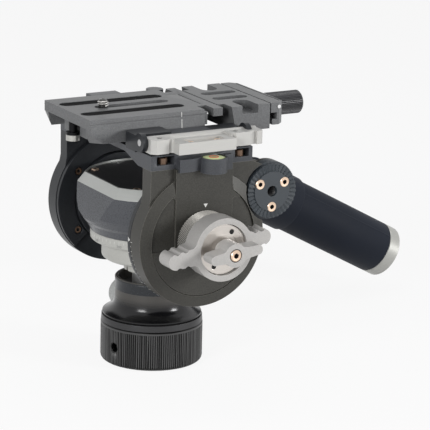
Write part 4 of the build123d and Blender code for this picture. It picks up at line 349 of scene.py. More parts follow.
@dataclass(frozen=True)
class Knurled(Finish):
    """Cut metal with painted shade in its grooves, told apart from its crests by their distance from a line.
    """

    line: Line = Line.ALONG_Z
    centre: PLACE = PAN_LINE
    crest: float = 30.25
    sunk: float = 0.4
    shade: float = 0.3
    glint: float = 1.5
    slope: float = 1.0

    def lay(self, net: Net) -> None:
        """Paint shade into the grooves, lighten the crests as rubbing and painted highlight, and speckle the
        metal.
        """
        above = net.away(self.line, self.centre) - (self.crest - self.sunk) * MM
        height = (above * (1.0 / (self.sunk * MM))).held() ** self.slope
        grain = net.noise(1800.0, 2.0)
        cloud = net.noise(60.0, 2.0)
        body = net.mix(height, self.tone.linear(self.shade), self.tone.linear())
        worn = (height ** 4.0 * (cloud * 0.8 + 0.2)).held()
        colour = net.mix(worn, body, self.tone.linear(self.glint))
        rough = (grain - 0.5) * 0.14 + self.roughness
        net.surface(None, Base_Color=colour, Roughness=rough, Metallic=self.metallic,
                    Normal=net.bump(grain, 0.006))


@dataclass(frozen=True)
class Toothed(Finish):
    """Face teeth with painted shade in their grooves, told apart by their distance from X = 0."""

    crest: float = 59.2
    sunk: float = 1.1
    shade: float = 0.25
    glint: float = 1.6

    def lay(self, net: Net) -> None:
        """Paint shade into the grooves by their depth below the face and lighten the edges as rubbing and
        painted highlight.
        """
        split = net.node("ShaderNodeSeparateXYZ", None, {0: net.place()})
        reach = net.wire("ShaderNodeMath", {"operation": "ABSOLUTE"}, {0: Wire(net, split.outputs[0])})
        height = ((reach - (self.crest - self.sunk) * MM) * (1.0 / (self.sunk * MM))).held() ** 4.0
        grain = net.noise(1800.0, 2.0)
        cloud = net.noise(70.0, 2.0)
        body = net.mix(height, self.tone.linear(self.shade), self.tone.linear())
        worn = (net.edge(0.3) * (cloud + 0.3)).held()
        colour = net.mix(worn, body, self.tone.linear(self.glint))
        rough = (grain - 0.5) * 0.14 + self.roughness
        net.surface({"Specular IOR Level": 0.1}, Base_Color=colour, Roughness=rough, Metallic=self.metallic,
                    Normal=net.bump(grain, 0.008))


@dataclass(frozen=True)
class Turned(Finish):
    """Metal with fine turning rings round a line."""

    line: Line = Line.ALONG_X
    centre: PLACE = TILT_LINE
    pitch: float = 0.5
    depth: float = 0.006
    spread: float = 0.14

    def lay(self, net: Net) -> None:
        """Cut fine rings by the distance from the line."""
        radius = net.away(self.line, self.centre)
        rings = (radius * (2 * math.pi / (self.pitch * MM))).sine() * 0.5 + 0.5
        tracks = net.wire("ShaderNodeTexNoise", {"noise_dimensions": "1D"},
                          {"W": radius * 900.0, "Scale": 1.0, "Detail": 3.0})
        cloud = net.noise(60.0, 2.0)
        shade = (tracks * 0.7 + cloud * 0.3).held()
        colour = net.mix(shade, self.tone.linear(1.0 - self.spread), self.tone.linear(1.0 + self.spread))
        rough = (tracks - 0.5) * 0.16 + (cloud - 0.5) * 0.08 + self.roughness
        net.surface(None, Base_Color=colour, Roughness=rough, Metallic=self.metallic,
                    Normal=net.bump(rings * 0.6 + tracks * 0.8, self.depth))


@dataclass(frozen=True)
class Drawn(Finish):
    """Satin metal with faint streaks along one axis."""

    streak: PLACE = (1.0, 0.05, 1.0)
    spread: float = 0.10
    wear: float = 0.25

    def lay(self, net: Net) -> None:
        """Stretch the noise along the axis and lighten the edges as rubbing and painted highlight."""
        streaks = net.noise(1600.0, 2.0, net.stretched(self.streak))
        grain = net.noise(2300.0, 1.0)
        cloud = net.noise(45.0, 2.0)
        shade = (streaks * 0.5 + grain * 0.3 + cloud * 0.2).held()
        body = net.mix(shade, self.tone.linear(1.0 - self.spread), self.tone.linear(1.0 + self.spread))
        edge = (net.edge(0.3) * self.wear).held()
        colour = net.mix(edge, body, self.tone.linear(1.35))
        rough = (grain - 0.5) * 0.12 + (cloud - 0.5) * 0.12 + self.roughness
        net.surface(None, Base_Color=colour, Roughness=rough, Metallic=self.metallic,
                    Normal=net.bump(streaks * 0.5 + grain * 0.5, 0.008))


@dataclass(frozen=True)
class Rubber(Finish):
    """Dull rubber with a fine skin, slightly greyed by handling."""

    grain: float = 1500.0
    depth: float = 0.03
    greyed: float = 1.5

    def lay(self, net: Net) -> None:
        """Roughen the skin and grey it in broad patches."""
        grain = net.noise(self.grain, 3.0)
        patch = net.noise(28.0, 4.0)
        shade = ((patch - 0.45) * 1.6 + (grain - 0.5) * 0.5).held()
        colour = net.mix(shade, self.tone.linear(), self.tone.linear(self.greyed))
        rough = (patch - 0.5) * 0.12 + (grain - 0.5) * 0.14 + self.roughness
        net.surface({"Specular IOR Level": 0.18}, Base_Color=colour, Roughness=rough,
                    Normal=net.bump(grain, self.depth))


@dataclass(frozen=True)
class Ribbed(Finish):
    """Rubber strip with narrow ribs across it."""

    pitch: float = 1.1
    depth: float = 0.25

    def lay(self, net: Net) -> None:
        """Raise ribs along Y over a fine grain."""
        split = net.node("ShaderNodeSeparateXYZ", None, {0: net.place()})
        ribs = (Wire(net, split.outputs[1]) * (2 * math.pi / (self.pitch * MM))).sine() * 0.5 + 0.5
        grain = net.noise(1700.0, 2.0)
        dust = net.noise(70.0, 3.0)
        # Rib height also sets the colour: painted shade in the grooves, painted highlight on the crests; dust
        # greys it in patches.
        shade = (ribs * 0.5 + dust * 0.5).held()
        colour = net.mix(shade, self.tone.linear(0.75), self.tone.linear(1.5))
        rough = (grain - 0.5) * 0.2 + self.roughness
        net.surface({"Specular IOR Level": 0.08}, Base_Color=colour, Roughness=rough,
                    Normal=net.bump(ribs + grain * 0.2, self.depth))


@dataclass(frozen=True)
class Moulded(Finish):
    """Moulded plastic or paint with a faint orange peel."""

    coat: float = 0.0
    spread: float = 0.12

    def lay(self, net: Net) -> None:
        """Ripple the skin and vary the gloss."""
        peel = net.noise(700.0, 2.0)
        patch = net.noise(55.0, 3.0)
        shade = (peel * 0.5 + patch * 0.5).held()
        colour = net.mix(shade, self.tone.linear(1.0 - self.spread), self.tone.linear(1.0 + self.spread))
        rough = (patch - 0.5) * 0.16 + (peel - 0.5) * 0.10 + self.roughness
        net.surface({"Coat Weight": self.coat, "Coat Roughness": 0.08}, Base_Color=colour, Roughness=rough,
                    Metallic=self.metallic, Normal=net.bump(peel, 0.015))


@dataclass(frozen=True)
class Liquid(Finish):
    """Tinted liquid under a clear dome, brighter towards its middle, glowing as painted light."""

    centre: PLACE = VIAL_TOP
    reach: float = 6.4

    def lay(self, net: Net) -> None:
        """Fade the tint outwards from the middle and make the same colour glow as painted light."""
        off = net.wire("ShaderNodeVectorMath", {"operation": "DISTANCE"},
                       {0: net.place(), 1: tuple(value * MM for value in self.centre)}, 1)
        fade = (off * (1.0 / (self.reach * MM))).held()
        swirl = net.noise(240.0, 2.0)
        shade = (fade ** 5.0 * 0.9 + swirl * 0.1).held()
        colour = net.mix(shade, self.tone.linear(1.08), self.tone.linear(0.62))
        # Emission makes the liquid glow though it is no lamp: painted light.
        net.surface({"Coat Weight": 1.0, "Coat Roughness": 0.02, "Emission Strength": 0.35},
                    Base_Color=colour, Roughness=swirl * 0.08 + self.roughness, Emission_Color=colour)


class Blank:
    """Mesh being shaped in millimetres round its own +Z line."""

    def __init__(self) -> None:
        """Start with no geometry."""
        self.bm = bmesh.new()

    def turn(self, profile: Sequence[POINT], steps: int = 64, rounding: float = 0.0,
             closed: bool = False) -> "Blank":
        """Spin an outline of (radius, height) points round the line.

        Args:
            profile: outline points in order.
            steps: facets round the line.
            rounding: radius of the corners between the end points.
            closed: joins the last point to the first.

        Returns:
            The blank itself.
        """
        points = [self.bm.verts.new((radius, 0.0, height)) for radius, height in profile]
        wires = [self.bm.edges.new(pair) for pair in zip(points, points[1:])]
        if closed:
            wires.append(self.bm.edges.new((points[-1], points[0])))
        if rounding:
            inner = points if closed else points[1:-1]
            before = set(self.bm.edges) - set(wires)
            bmesh.ops.bevel(self.bm, geom=inner, offset=rounding, offset_type="OFFSET", segments=3,
                            profile=0.5, affect="VERTICES", material=-1)
            wires = [edge for edge in self.bm.edges if edge not in before and edge.is_wire]
        ends = {vert for wire in wires for vert in wire.verts}
        bmesh.ops.spin(self.bm, geom=list(ends) + wires, cent=(0, 0, 0), axis=(0, 0, 1), angle=2 * math.pi,
                       steps=steps, use_merge=True, use_duplicate=False)
        return self

    def loop(self, radius: float, height: float, segments: int) -> list[bmesh.types.BMEdge]:
        """Add an open circle of edges at a height and return them."""
        place = Matrix.Translation((0, 0, height))
        made = bmesh.ops.create_circle(self.bm, cap_ends=False, radius=radius, segments=segments,
                                       matrix=place)
        return list({edge for vert in made["verts"] for edge in vert.link_edges})

    def grow(self, edges: Sequence[bmesh.types.BMEdge], height: float,
             radius: Callable[[float], float]) -> list[bmesh.types.BMEdge]:
        """Carry a loop on to a height.

        Args:
            edges: loop to carry on.
            height: new height.
            radius: gives the new radius for each angle.

        Returns:
            Edges of the new loop.
        """
        made = bmesh.ops.extrude_edge_only(self.bm, edges=list(edges))["geom"]
        fresh = {item for item in made if isinstance(item, bmesh.types.BMVert)}
        for vert in fresh:
            angle = math.atan2(vert.co.y, vert.co.x)
            reach = radius(angle)
            vert.co = (reach * math.cos(angle), reach * math.sin(angle), height)
        return [edge for edge in {edge for vert in fresh for edge in vert.link_edges}
                if all(vert in fresh for vert in edge.verts)]

    def close(self, edges: Sequence[bmesh.types.BMEdge]) -> None:
        """Fill a loop with one face."""
        bmesh.ops.edgeloop_fill(self.bm, edges=list(edges))

    def bridge(self, first: Sequence[bmesh.types.BMEdge], second: Sequence[bmesh.types.BMEdge]) -> None:
        """Join two loops by faces."""
        bmesh.ops.bridge_loops(self.bm, edges=list(first) + list(second))

    def box(self, low: PLACE, high: PLACE, bevel: float = 0.0) -> "Blank":
        """Add a box between two corners, with bevelled edges."""
        size = Vector(high) - Vector(low)
        middle = (Vector(high) + Vector(low)) / 2
        place = Matrix.Translation(middle) @ Matrix.Diagonal((*size, 1.0))
        made = bmesh.ops.create_cube(self.bm, size=1.0, matrix=place)["verts"]
        if bevel:
            edges = list({edge for vert in made for edge in vert.link_edges})
            bmesh.ops.bevel(self.bm, geom=edges, offset=bevel, offset_type="OFFSET", segments=2, profile=0.5,
                            affect="EDGES", material=-1)
        return self

    def thread(self, root: float, crest: float, pitch: float, span: POINT, steps: int = 32) -> "Blank":
        """Wind a ridge from one height to another; a crest inside its root makes a nut's thread."""
        turns = (span[1] - span[0]) / pitch - 1.0
        half = pitch * 0.46
        start = span[0] + pitch / 2
        corners = [(root, start - half), (crest, start - pitch * 0.08), (crest, start + pitch * 0.08),
                   (root, start + half)]
        points = [self.bm.verts.new((radius, 0.0, height)) for radius, height in corners]
        wires = [self.bm.edges.new(pair) for pair in zip(points, points[1:] + points[:1])]
        count = round(steps * turns)
        ends = bmesh.ops.edgeloop_fill(self.bm, edges=wires)["faces"]
        bmesh.ops.spin(self.bm, geom=ends, cent=(0, 0, 0), axis=(0, 0, 1), angle=2 * math.pi * turns,
                       steps=count, dvec=(0, 0, pitch * turns / count), use_merge=False, use_duplicate=False)
        return self

    def trim(self, at: PLACE, beyond: PLACE) -> "Blank":
        """Cut away all that lies beyond a plane and close the cut.

        Args:
            at: point on the plane.
            beyond: direction of the part that is cut away.

        Returns:
            The blank itself.
        """
        bmesh.ops.remove_doubles(self.bm, verts=self.bm.verts, dist=0.002)
        geom = list(self.bm.verts) + list(self.bm.edges) + list(self.bm.faces)
        made = bmesh.ops.bisect_plane(self.bm, geom=geom, plane_co=at, plane_no=beyond, clear_outer=True)
        rim = [item for item in made["geom_cut"] if isinstance(item, bmesh.types.BMEdge)]
        bmesh.ops.contextual_create(self.bm, geom=rim)
        return self

    def move(self, matrix: Matrix, since: int = 0) -> None:
        """Place the vertices made since a count by a matrix."""
        self.bm.verts.ensure_lookup_table()
        bmesh.ops.transform(self.bm, matrix=matrix, verts=self.bm.verts[since:])

    def count(self) -> int:
        """Number of vertices so far."""
        return len(self.bm.verts)

    def mesh(self, name: str, place: Matrix, sharp: float = 32.0, flat: bool = False) -> bpy.types.Mesh:
        """Close the mesh, turn its faces outwards and lay it on the object in metres.

        Args:
            name: name of the mesh.
            place: where its line lies, in millimetres.
            sharp: angle in degrees from which an edge stays sharp.
            flat: shades each facet on its own.

        Returns:
            The mesh.
        """
        bm = self.bm
        bmesh.ops.remove_doubles(bm, verts=bm.verts, dist=0.002)
        bmesh.ops.recalc_face_normals(bm, faces=bm.faces)
        bmesh.ops.transform(bm, matrix=Matrix.Scale(MM, 4) @ place, verts=bm.verts)
        limit = math.radians(sharp)
        for face in bm.faces:
            face.smooth = not flat
        for edge in bm.edges:
            edge.smooth = edge.is_manifold and edge.calc_face_angle(0.0) < limit
        made = bpy.data.meshes.new(name)
        bm.to_mesh(made)
        bm.free()
        return made


@dataclass
class Screw:
    """Socket screw whose head's top lies at height zero and whose shank points to -Z."""

    radius: float
    height: float
    shank: float
    length: float
    key: float = 0.5
    depth: float = 0.9
    dome: float = 0.3

    def add(self, blank: Blank, place: Matrix) -> None:
        """Add one screw to a blank."""
        since = blank.count()
        rim = blank.loop(self.radius - self.dome, 0.0, 28)
        side = blank.grow(rim, -self.dome, lambda angle: self.radius)
        side = blank.grow(side, -self.height, lambda angle: self.radius)
        side = blank.grow(side, -self.height, lambda angle: self.shank)
        side = blank.grow(side, -self.height - self.length, lambda angle: self.shank)
        blank.close(side)
        mouth = blank.loop(self.radius * self.key, -self.dome * 0.3, 6)
        blank.bridge(rim, mouth)
        outside = set(blank.bm.faces)
        floor = blank.grow(mouth, -self.height * self.depth, lambda angle: self.radius * self.key)
        blank.close(floor)
        # The socket's walls and floor take the second material, a painted shadow.
        for face in set(blank.bm.faces) - outside:
            face.material_index = 1
        blank.move(place, since)


@dataclass
class Part:
    """Sub-assembly whose pieces ride on one body."""

    body: str

    def put(self, name: str, mesh: bpy.types.Mesh, finish: Finish, slot: Slot,
            stands_for: Sequence[str] = (), inner: Optional[Finish] = None) -> bpy.types.Object:
        """Make a piece that rides on this body.

        Args:
            name: name of the piece.
            mesh: mesh in metres, in the object's frame.
            finish: finish of its faces.
            slot: slot of the record that the finish belongs to; not used.
            stands_for: CAD nodes that the piece replaces.
            inner: finish of the faces marked as sockets.

        Returns:
            The piece.
        """
        piece = bpy.data.objects.new(name, mesh)
        bpy.context.scene.collection.objects.link(piece)
        mesh.materials.append(finish.material())
        if inner:
            mesh.materials.append(inner.material())
        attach(piece, self.body)
        if stands_for:
            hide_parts(*stands_for)
        LOG.info("%s: %d faces on %s", name, len(mesh.polygons), self.body)
        return piece

    def soften(self, node: str, finish: Finish, slot: Slot, width: float = 0.22, segments: int = 2,
               sharp: float = 30.0) -> bpy.types.Object:
        """Replace a CAD node by a copy whose edges are rounded.

        Args:
            node: name of the node.
            finish: finish of the copy.
            slot: slot of the record.
            width: width of the rounding in millimetres.
            segments: facets of the rounding.
            sharp: angle in degrees from which an edge is rounded.

        Returns:
            The copy.
        """
        bm = bmesh.new()
        bm.from_mesh(frame["nodes"][node].data)
        bmesh.ops.remove_doubles(bm, verts=bm.verts, dist=0.004 * MM)
        bmesh.ops.dissolve_degenerate(bm, edges=bm.edges, dist=0.004 * MM)
        bmesh.ops.dissolve_limit(bm, verts=bm.verts, edges=bm.edges, angle_limit=math.radians(0.6),
                                 use_dissolve_boundaries=False)
        limit = math.radians(sharp)
        for face in bm.faces:
            face.smooth = True
        for edge in bm.edges:
            edge.smooth = edge.is_manifold and edge.calc_face_angle(0.0) < limit
        mesh = bpy.data.meshes.new(node + "_made")
        bm.to_mesh(mesh)
        bm.free()
        piece = self.put(node + "_made", mesh, finish, slot, [node])
        bevel = piece.modifiers.new("rounded", "BEVEL")
        bevel.width = width * MM
        bevel.segments = segments
        bevel.limit_method = "ANGLE"
        bevel.angle_limit = limit
        bevel.use_clamp_overlap = True
        bevel.harden_normals = True
        bevel.miter_outer = "MITER_ARC" if segments > 1 else "MITER_SHARP"
        return piece

    def carry(self, node: str, finish: Finish) -> None:
        """Give a CAD node a new finish."""
        mesh = frame["nodes"][node].data
        if not mesh.materials:
            mesh.materials.append(finish.material())
        for n in range(len(mesh.materials)):
            mesh.materials[n] = finish.material()

    def screws(self, node: str, size: Screw, line: Line, places: Iterable[PLACE], finish: Finish, slot: Slot,
               flip: bool = False) -> bpy.types.Object:
        """Replace a node of screws by socket screws whose heads' tops lie at the given places."""
        blank = Blank()
        turned = Matrix.Rotation(math.pi, 4, "X") if flip else Matrix.Identity(4)
        for number, place in enumerate(places):
            spun = Matrix.Rotation(FIRST_SPIN + NEXT_SPIN * number, 4, "Z")
            size.add(blank, line.placing(place) @ turned @ spun)
        mesh = blank.mesh(node + "_made", Matrix.Identity(4))
        return self.put(node + "_made", mesh, finish, slot, [node], SOCKET_SHADOW)


def wave(teeth: int, depth: float, flat: float = 0.35) -> Callable[[float], float]:
    """Straight knurl: how far below the crest the surface lies at an angle.

    Args:
        teeth: number of teeth.
        depth: depth of the grooves in millimetres.
        flat: share of each tooth that is groove.

    Returns:
        Function of the angle.
    """
    def sunk(angle: float) -> float:
        """Depth at one angle."""
        share = (angle / (2 * math.pi) * teeth) % 1.0
        return depth if share < flat else 0.0
    return sunk


def marks(places: Iterable[tuple[Matrix, float, float]], thickness: float = 0.06) -> Blank:
    """Thin bars, each centred on a place and given a width and a length along its X and Y."""
    blank = Blank()
    for place, width, length in places:
        since = blank.count()
        blank.box((-width / 2, -length / 2, -thickness), (width / 2, length / 2, thickness))
        blank.move(place, since)
    return blank


def numeral(text: str, height: float) -> bpy.types.Mesh:
    """Flat mesh of a number in the built-in font, centred on its origin, in millimetres."""
    curve = bpy.data.curves.new("numeral", "FONT")
    curve.body = text
    curve.size = height
    curve.align_x = "CENTER"
    curve.align_y = "CENTER"
    curve.resolution_u = 3
    shown = bpy.data.objects.new("numeral", curve)
    bpy.context.scene.collection.objects.link(shown)
    bpy.context.view_layer.update()
    flat = shown.evaluated_get(bpy.context.evaluated_depsgraph_get())
    made = bpy.data.meshes.new_from_object(flat)
    bpy.data.objects.remove(shown)
    bpy.data.curves.remove(curve)
    return made


# STEEL, COPPER and ROSETTE share their names with slots of the record, whose plain materials show in their
# place: Finish.material() finds those first.
# In the Blasted finishes below, the lighter edges are partly rubbed metal and partly a painted highlight.
WARM = Blasted("warm_anodise", Tone(61, 60, 56), 0.44, 0.10, grain=1500.0, spread=0.26, worn=4.2, wear=1.0)
SLATE = Blasted("slate_anodise", Tone(70, 72, 76), 0.36, 0.12, spread=0.22, worn=2.6, wear=0.7)
PLATE = Blasted("plate_anodise", Tone(104, 105, 106), 0.42, 0.12, grain=1500.0, spread=0.24, worn=1.9,
                wear=0.7)
BLACK = Blasted("black_anodise", Tone(40, 42, 45), 0.36, 0.20, spread=0.22, worn=3.0, wear=0.6)
# Skirt: one material shown near-black on the flare and lighter on the neck above level; the difference is
# painted shade and light.
SKIRT = Stepped("skirt_satin", Tone(20, 20, 22), 0.36, 0.30, upper=Tone(78, 76, 73), level=38.5, blend=5.0,
                lower_roughness=0.20)
COLLAR = Blasted("collar_satin", Tone(60, 60, 61), 0.36, 0.4, spread=0.12, depth=0.005)
BAND = Moulded("neck_band", Tone(40, 43, 47), 0.26, 0.3, spread=0.05)
SILVER = Blasted("silver_anodise", Tone(184, 184, 179), 0.40, 0.40, spread=0.07, depth=0.006, worn=1.3,
                 wear=0.5)
LEVER = Blasted("lever_satin", Tone(180, 178, 175), 0.40, 0.15, grain=1300.0, spread=0.06, depth=0.008,
                worn=1.45, wear=0.8)
# The knurled finishes below paint shade into their grooves and a highlight on their crests.
DIAL = Knurled("dial_knurl", Tone(190, 187, 180), 0.32, 0.5, Line.ALONG_X, TILT_LINE, crest=17.4, sunk=0.7,
               shade=0.03, glint=1.4, slope=2.4)
RING = Knurled("ring_knurl", Tone(60, 60, 60), 0.34, 0.4, Line.ALONG_Z, PAN_LINE, crest=30.25, sunk=0.55,
               shade=0.12, glint=2.0, slope=1.5)
BAR = Drawn("bar_satin", Tone(194, 193, 189), 0.34, 0.15, streak=(1.0, 0.06, 1.0), wear=0.5)
NUT = Turned("turned_nut", Tone(206, 200, 194), 0.30, 1.0, depth=0.0004, spread=0.10)
STEEL = Drawn("steel", Tone(180, 180, 182), 0.30, 1.0, streak=(0.3, 1.0, 1.0))
BRONZE = Turned("turned_bronze", Tone(190, 150, 100), 0.35, 1.0)
COPPER = Drawn("copper_screw", Tone(132, 108, 92), 0.36, 0.5, streak=(1.0, 1.0, 1.0), spread=0.14)
# Darker copy of the copper screws' finish for screws that sit in shade: painted shade.
SHADED_COPPER = Drawn("shaded_copper_screw", Tone(112, 90, 74), 0.40, 0.5, streak=(1.0, 1.0, 0.1), spread=0.30)
# Near-black walls and floors of the screws' sockets: painted shadow.
SOCKET_SHADOW = Moulded("socket_shadow", Tone(3, 3, 3), 1.0)
DRUM = Blasted("drum_satin", Tone(84, 86, 90), 0.28, 0.35, spread=0.14, depth=0.005, worn=1.8, wear=0.5)
TRIM = Turned("turned_trim", Tone(176, 178, 175), 0.36, 0.6, Line.ALONG_Z, PAN_LINE, pitch=0.4, depth=0.004,
              spread=0.08)
ROSETTE = Toothed("rosette_dark", Tone(14, 17, 18), 0.62, 0.0, shade=0.02, glint=5.0)
CAP = Moulded("black_cap", Tone(34, 34, 36), 0.5)
HIDDEN = Moulded("inner_plastic", Tone(40, 40, 42), 0.55)
KNOB_GREY = Moulded("lock_knob_grey", Tone(176, 178, 176), 0.38)
KNOB_BLACK = Knurled("knob_black", Tone(48, 48, 51), 0.42, 0.0, Line.ALONG_Y, KNOB_LINE, crest=7.0, sunk=0.35,
                     shade=0.3, glint=1.5)
GRIP = Rubber("grip_rubber", Tone(22, 27, 37), 0.66)
STRIP = Ribbed("strip_rubber", Tone(15, 15, 16), 0.85)
VIAL = Liquid("vial_liquid", Tone(222, 234, 176), 0.12)
VIAL_RIM = Moulded("vial_rim", Tone(30, 34, 28), 0.25, coat=0.6)
VIAL_RING = Moulded("vial_ring", Tone(196, 40, 34), 0.30)
BUBBLE = Moulded("vial_bubble", Tone(214, 226, 172), 0.10, coat=0.8)
THREAD = Knurled("screw_thread", Tone(226, 224, 220), 0.26, 0.5, Line.ALONG_Z, CAMERA_SCREW_LINE, crest=3.175,
                 sunk=0.5, shade=0.06, glint=1.2)
END_PIN = Stepped("end_pin", Tone(190, 189, 184), 0.40, 0.8, upper=Tone(20, 20, 22), level=141.0, blend=0.4)
PRINT = Moulded("pale_print", Tone(226, 226, 222), 0.6)
# Near-black discs and linings set into holes: painted shade.
HOLE_SHADE = Moulded("painted_hole_shade", Tone(8, 8, 8), 0.8)
FAINT = Moulded("faint_print", Tone(138, 138, 136), 0.6)


def eased(points: Sequence[POINT], rounds: int = 2) -> list[POINT]:
    """Cut the corners of an open outline, keeping its ends."""
    line = list(points)
    for _ in range(rounds):
        cut = [line[0]]
        for (ra, ha), (rb, hb) in zip(line, line[1:]):
            cut += [(0.75 * ra + 0.25 * rb, 0.75 * ha + 0.25 * hb),
                    (0.25 * ra + 0.75 * rb, 0.25 * ha + 0.75 * hb)]
        line = cut + [line[-1]]
    return line


@dataclass
class Base(Part):
    """Base plate with the tripod thread, and the housing above it."""

    body: str = "base"
    screw_circle: float = 21.5
    screw_rise: float = 0.5
    thread_radius: float = 4.7625
    thread_pitch: float = 1.5875
    thread_depth: float = 15.0
    housing_foot: float = 28.4
    skirt_radius: float = 29.3
    skirt_low: float = 29.6
    skirt_height: float = 11.0
    neck_radius: float = 22.0
    neck_top: float = 51.0
    cup_radius: float = 20.0
    cup_floor: float = 37.0
    room_radius: float = 17.5
    room_top: float = 34.0
    bore: float = 12.05
    band_low: float = 43.8
    lock_height: float = 30.4
    boss_radius: float = 4.6
    boss_reach: float = 30.55
    shares: tuple[POINT, ...] = ((0.60, 0.13), (0.17, 0.36), (0.035, 0.66))

    def build(self) -> None:
        """Make the pieces of the base."""
        self.soften("base_plate", BLACK, Slot.BLACK, 0.3)
        self.soften("base_collar", COLLAR, Slot.BLACK, 0.25)
        self.carry("pan_bush", HIDDEN)
        self._thread()
        self._screws()
        self._housing()
        self._boss()

    def _thread(self) -> None:
        """Thread of the tripod hole."""
        blank = Blank().thread(self.thread_radius, self.thread_radius - 0.86, self.thread_pitch,
                               (0.3, self.thread_depth))
        self.put("tripod_thread", blank.mesh("tripod_thread", Matrix.Identity(4)), STEEL, Slot.STEEL)

    def _screws(self) -> None:
        """Long screws that hold the base plate, seen from below."""
        turns = [2 * math.pi * n / 3 for n in range(3)]
        places = [(self.screw_circle * math.cos(turn), self.screw_circle * math.sin(turn), self.screw_rise)
                  for turn in turns]
        size = Screw(radius=2.75, height=3.0, shank=1.5, length=28.9)
        self.screws("base_screws", size, Line.ALONG_Z, places, STEEL, Slot.STEEL, flip=True)

    def _housing(self) -> None:
        """Flared skirt and cup-shaped neck with its band."""
        flare = self.skirt_radius - self.neck_radius
        curve = [(self.skirt_radius, self.skirt_low)]
        curve += [(self.neck_radius + flare * out, self.skirt_low + self.skirt_height * up)
                  for out, up in self.shares]
        curve += [(self.neck_radius, self.skirt_low + self.skirt_height)]
        outline = [(self.room_radius, self.housing_foot), (self.skirt_radius - 0.4, self.housing_foot),
                   (self.skirt_radius, self.housing_foot + 0.4)]
        outline += eased(curve, 3)
        outline += [(self.neck_radius, self.neck_top - 0.5), (self.neck_radius - 0.4, self.neck_top),
                    (self.cup_radius + 0.3, self.neck_top), (self.cup_radius, self.neck_top - 0.3),
                    (self.cup_radius, self.cup_floor), (self.bore, self.cup_floor),
                    (self.bore, self.room_top), (self.room_radius, self.room_top)]
        housing = Blank().turn(outline, 96, closed=True).mesh("pan_housing_made", Matrix.Identity(4))
        self.put("pan_housing_made", housing, SKIRT, Slot.BLACK, ["pan_housing"])
        reach = self.neck_radius + 0.12
        band = [(self.neck_radius - 0.5, self.band_low), (reach, self.band_low + 0.2),
                (reach, self.neck_top - 1.5), (reach + 0.06, self.neck_top - 1.3),
                (reach, self.neck_top - 1.1), (reach, self.neck_top - 0.6),
                (self.neck_radius - 0.5, self.neck_top - 0.4)]
        ring = Blank().turn(band, 96, closed=True)
        self.put("neck_band", ring.mesh("neck_band", Matrix.Identity(4)), BAND, Slot.BLACK)

    def _boss(self) -> None:
        """Boss of the pan lock, flat where it meets the collar."""
        boss = [(0.0, self.neck_radius), (self.boss_radius, self.neck_radius),
                (self.boss_radius, self.boss_reach - 0.4), (self.boss_radius - 0.4, self.boss_reach),
                (1.9, self.boss_reach), (1.9, self.neck_radius + 1.0), (0.0, self.neck_radius + 1.0)]
        blank = Blank().turn(boss, 40)
        blank.move(Matrix.Translation((0, 0, self.lock_height)) @ Matrix.Rotation(-math.pi / 2, 4, "Y"))
        blank.trim((0.0, 0.0, self.housing_foot), (0.0, 0.0, -1.0))
        self.put("lock_boss", blank.mesh("lock_boss", Matrix.Identity(4)), SKIRT, Slot.BLACK)


@dataclass
class LockRing(Part):
    """Knurled ring round the base plate."""

    body: str = "base_lock_ring"
    radius: float = 30.25
    inner: float = 27.3
    low: float = 0.4
    high: float = 24.0
    teeth: int = 148
    depth: float = 0.55
    foot: float = 2.6
    hole_radius: float = 2.7
    hole_height: float = 11.9
    hole_angle: float = -75.0
    rounding: tuple[POINT, ...] = ((0, 0.0), (22, 0.5), (45, 1.0), (68, 1.0), (90, 1.0))

    def build(self) -> None:
        """Make the knurled ring with its spanner hole."""
        blank = Blank()
        segments = self.teeth * 4
        start = blank.loop(self.inner, self.low, segments)
        knurl = wave(self.teeth, self.depth, 0.45)
        loop = start
        for degrees, share in self.rounding:
            angle = math.radians(degrees)
            reach = self.radius - self.foot + self.foot * math.sin(angle)
            height = self.low + self.foot - self.foot * math.cos(angle)
            loop = blank.grow(loop, height,
                              lambda turn, reach=reach, share=share: reach - share * knurl(turn))
        top = self.high - 1.5
        for height, share in ((top - 0.45, 1.0), (top - 0.15, 0.75), (top, 0.0)):
            loop = blank.grow(loop, height, lambda turn, share=share: self.radius - share * knurl(turn))
        for height, reach in ((self.high - 0.75, self.radius), (self.high - 0.55, self.radius - 0.12),
                              (self.high, self.radius - 0.75), (self.high, self.inner),
                              (self.low + 0.4, self.inner)):
            loop = blank.grow(loop, height, lambda turn, reach=reach: reach)
        blank.bridge(loop, start)
        mesh = blank.mesh("base_lock_ring_made", Matrix.Identity(4), 25.0)
        self.put("base_lock_ring_made", self._drilled(mesh), RING, Slot.BLACK, ["base_lock_ring"])

    def _drilled(self, mesh: bpy.types.Mesh) -> bpy.types.Mesh:
        """Drill the spanner hole through a ring's wall and return the new mesh."""
        ring = bpy.data.objects.new("ring", mesh)
        low, high = self.inner - 2.0, self.radius + 0.45
        outline = [(0.0, low), (self.hole_radius, low), (self.hole_radius, self.radius - 0.75),
                   (self.hole_radius + 1.2, high), (0.0, high)]
        drill = Blank().turn(outline, 40)
        turned = Matrix.Rotation(math.radians(self.hole_angle), 4, "Z")
        place = turned @ Line.ALONG_X.placing((0.0, 0.0, self.hole_height))
        cutter = bpy.data.objects.new("drill", drill.mesh("drill", place))
        for made in (ring, cutter):
            bpy.context.scene.collection.objects.link(made)
        cut = ring.modifiers.new("cut", "BOOLEAN")
        cut.operation = "DIFFERENCE"
        cut.solver = "EXACT"
        cut.object = cutter
        bpy.context.view_layer.update()
        done = bpy.data.meshes.new_from_object(ring.evaluated_get(bpy.context.evaluated_depsgraph_get()))
        for made in (ring, cutter):
            bpy.data.objects.remove(made)
        return done


@dataclass
class PanLock(Part):
    """Pan lock: knob and stem beside the skirt."""

    body: str = "pan_lock"

    def build(self) -> None:
        """Round the knob's edges."""
        self.soften("pan_lock_knob", KNOB_GREY, Slot.GREY_PLASTIC, 0.5, 3)
        self.carry("pan_lock_stem", STEEL)


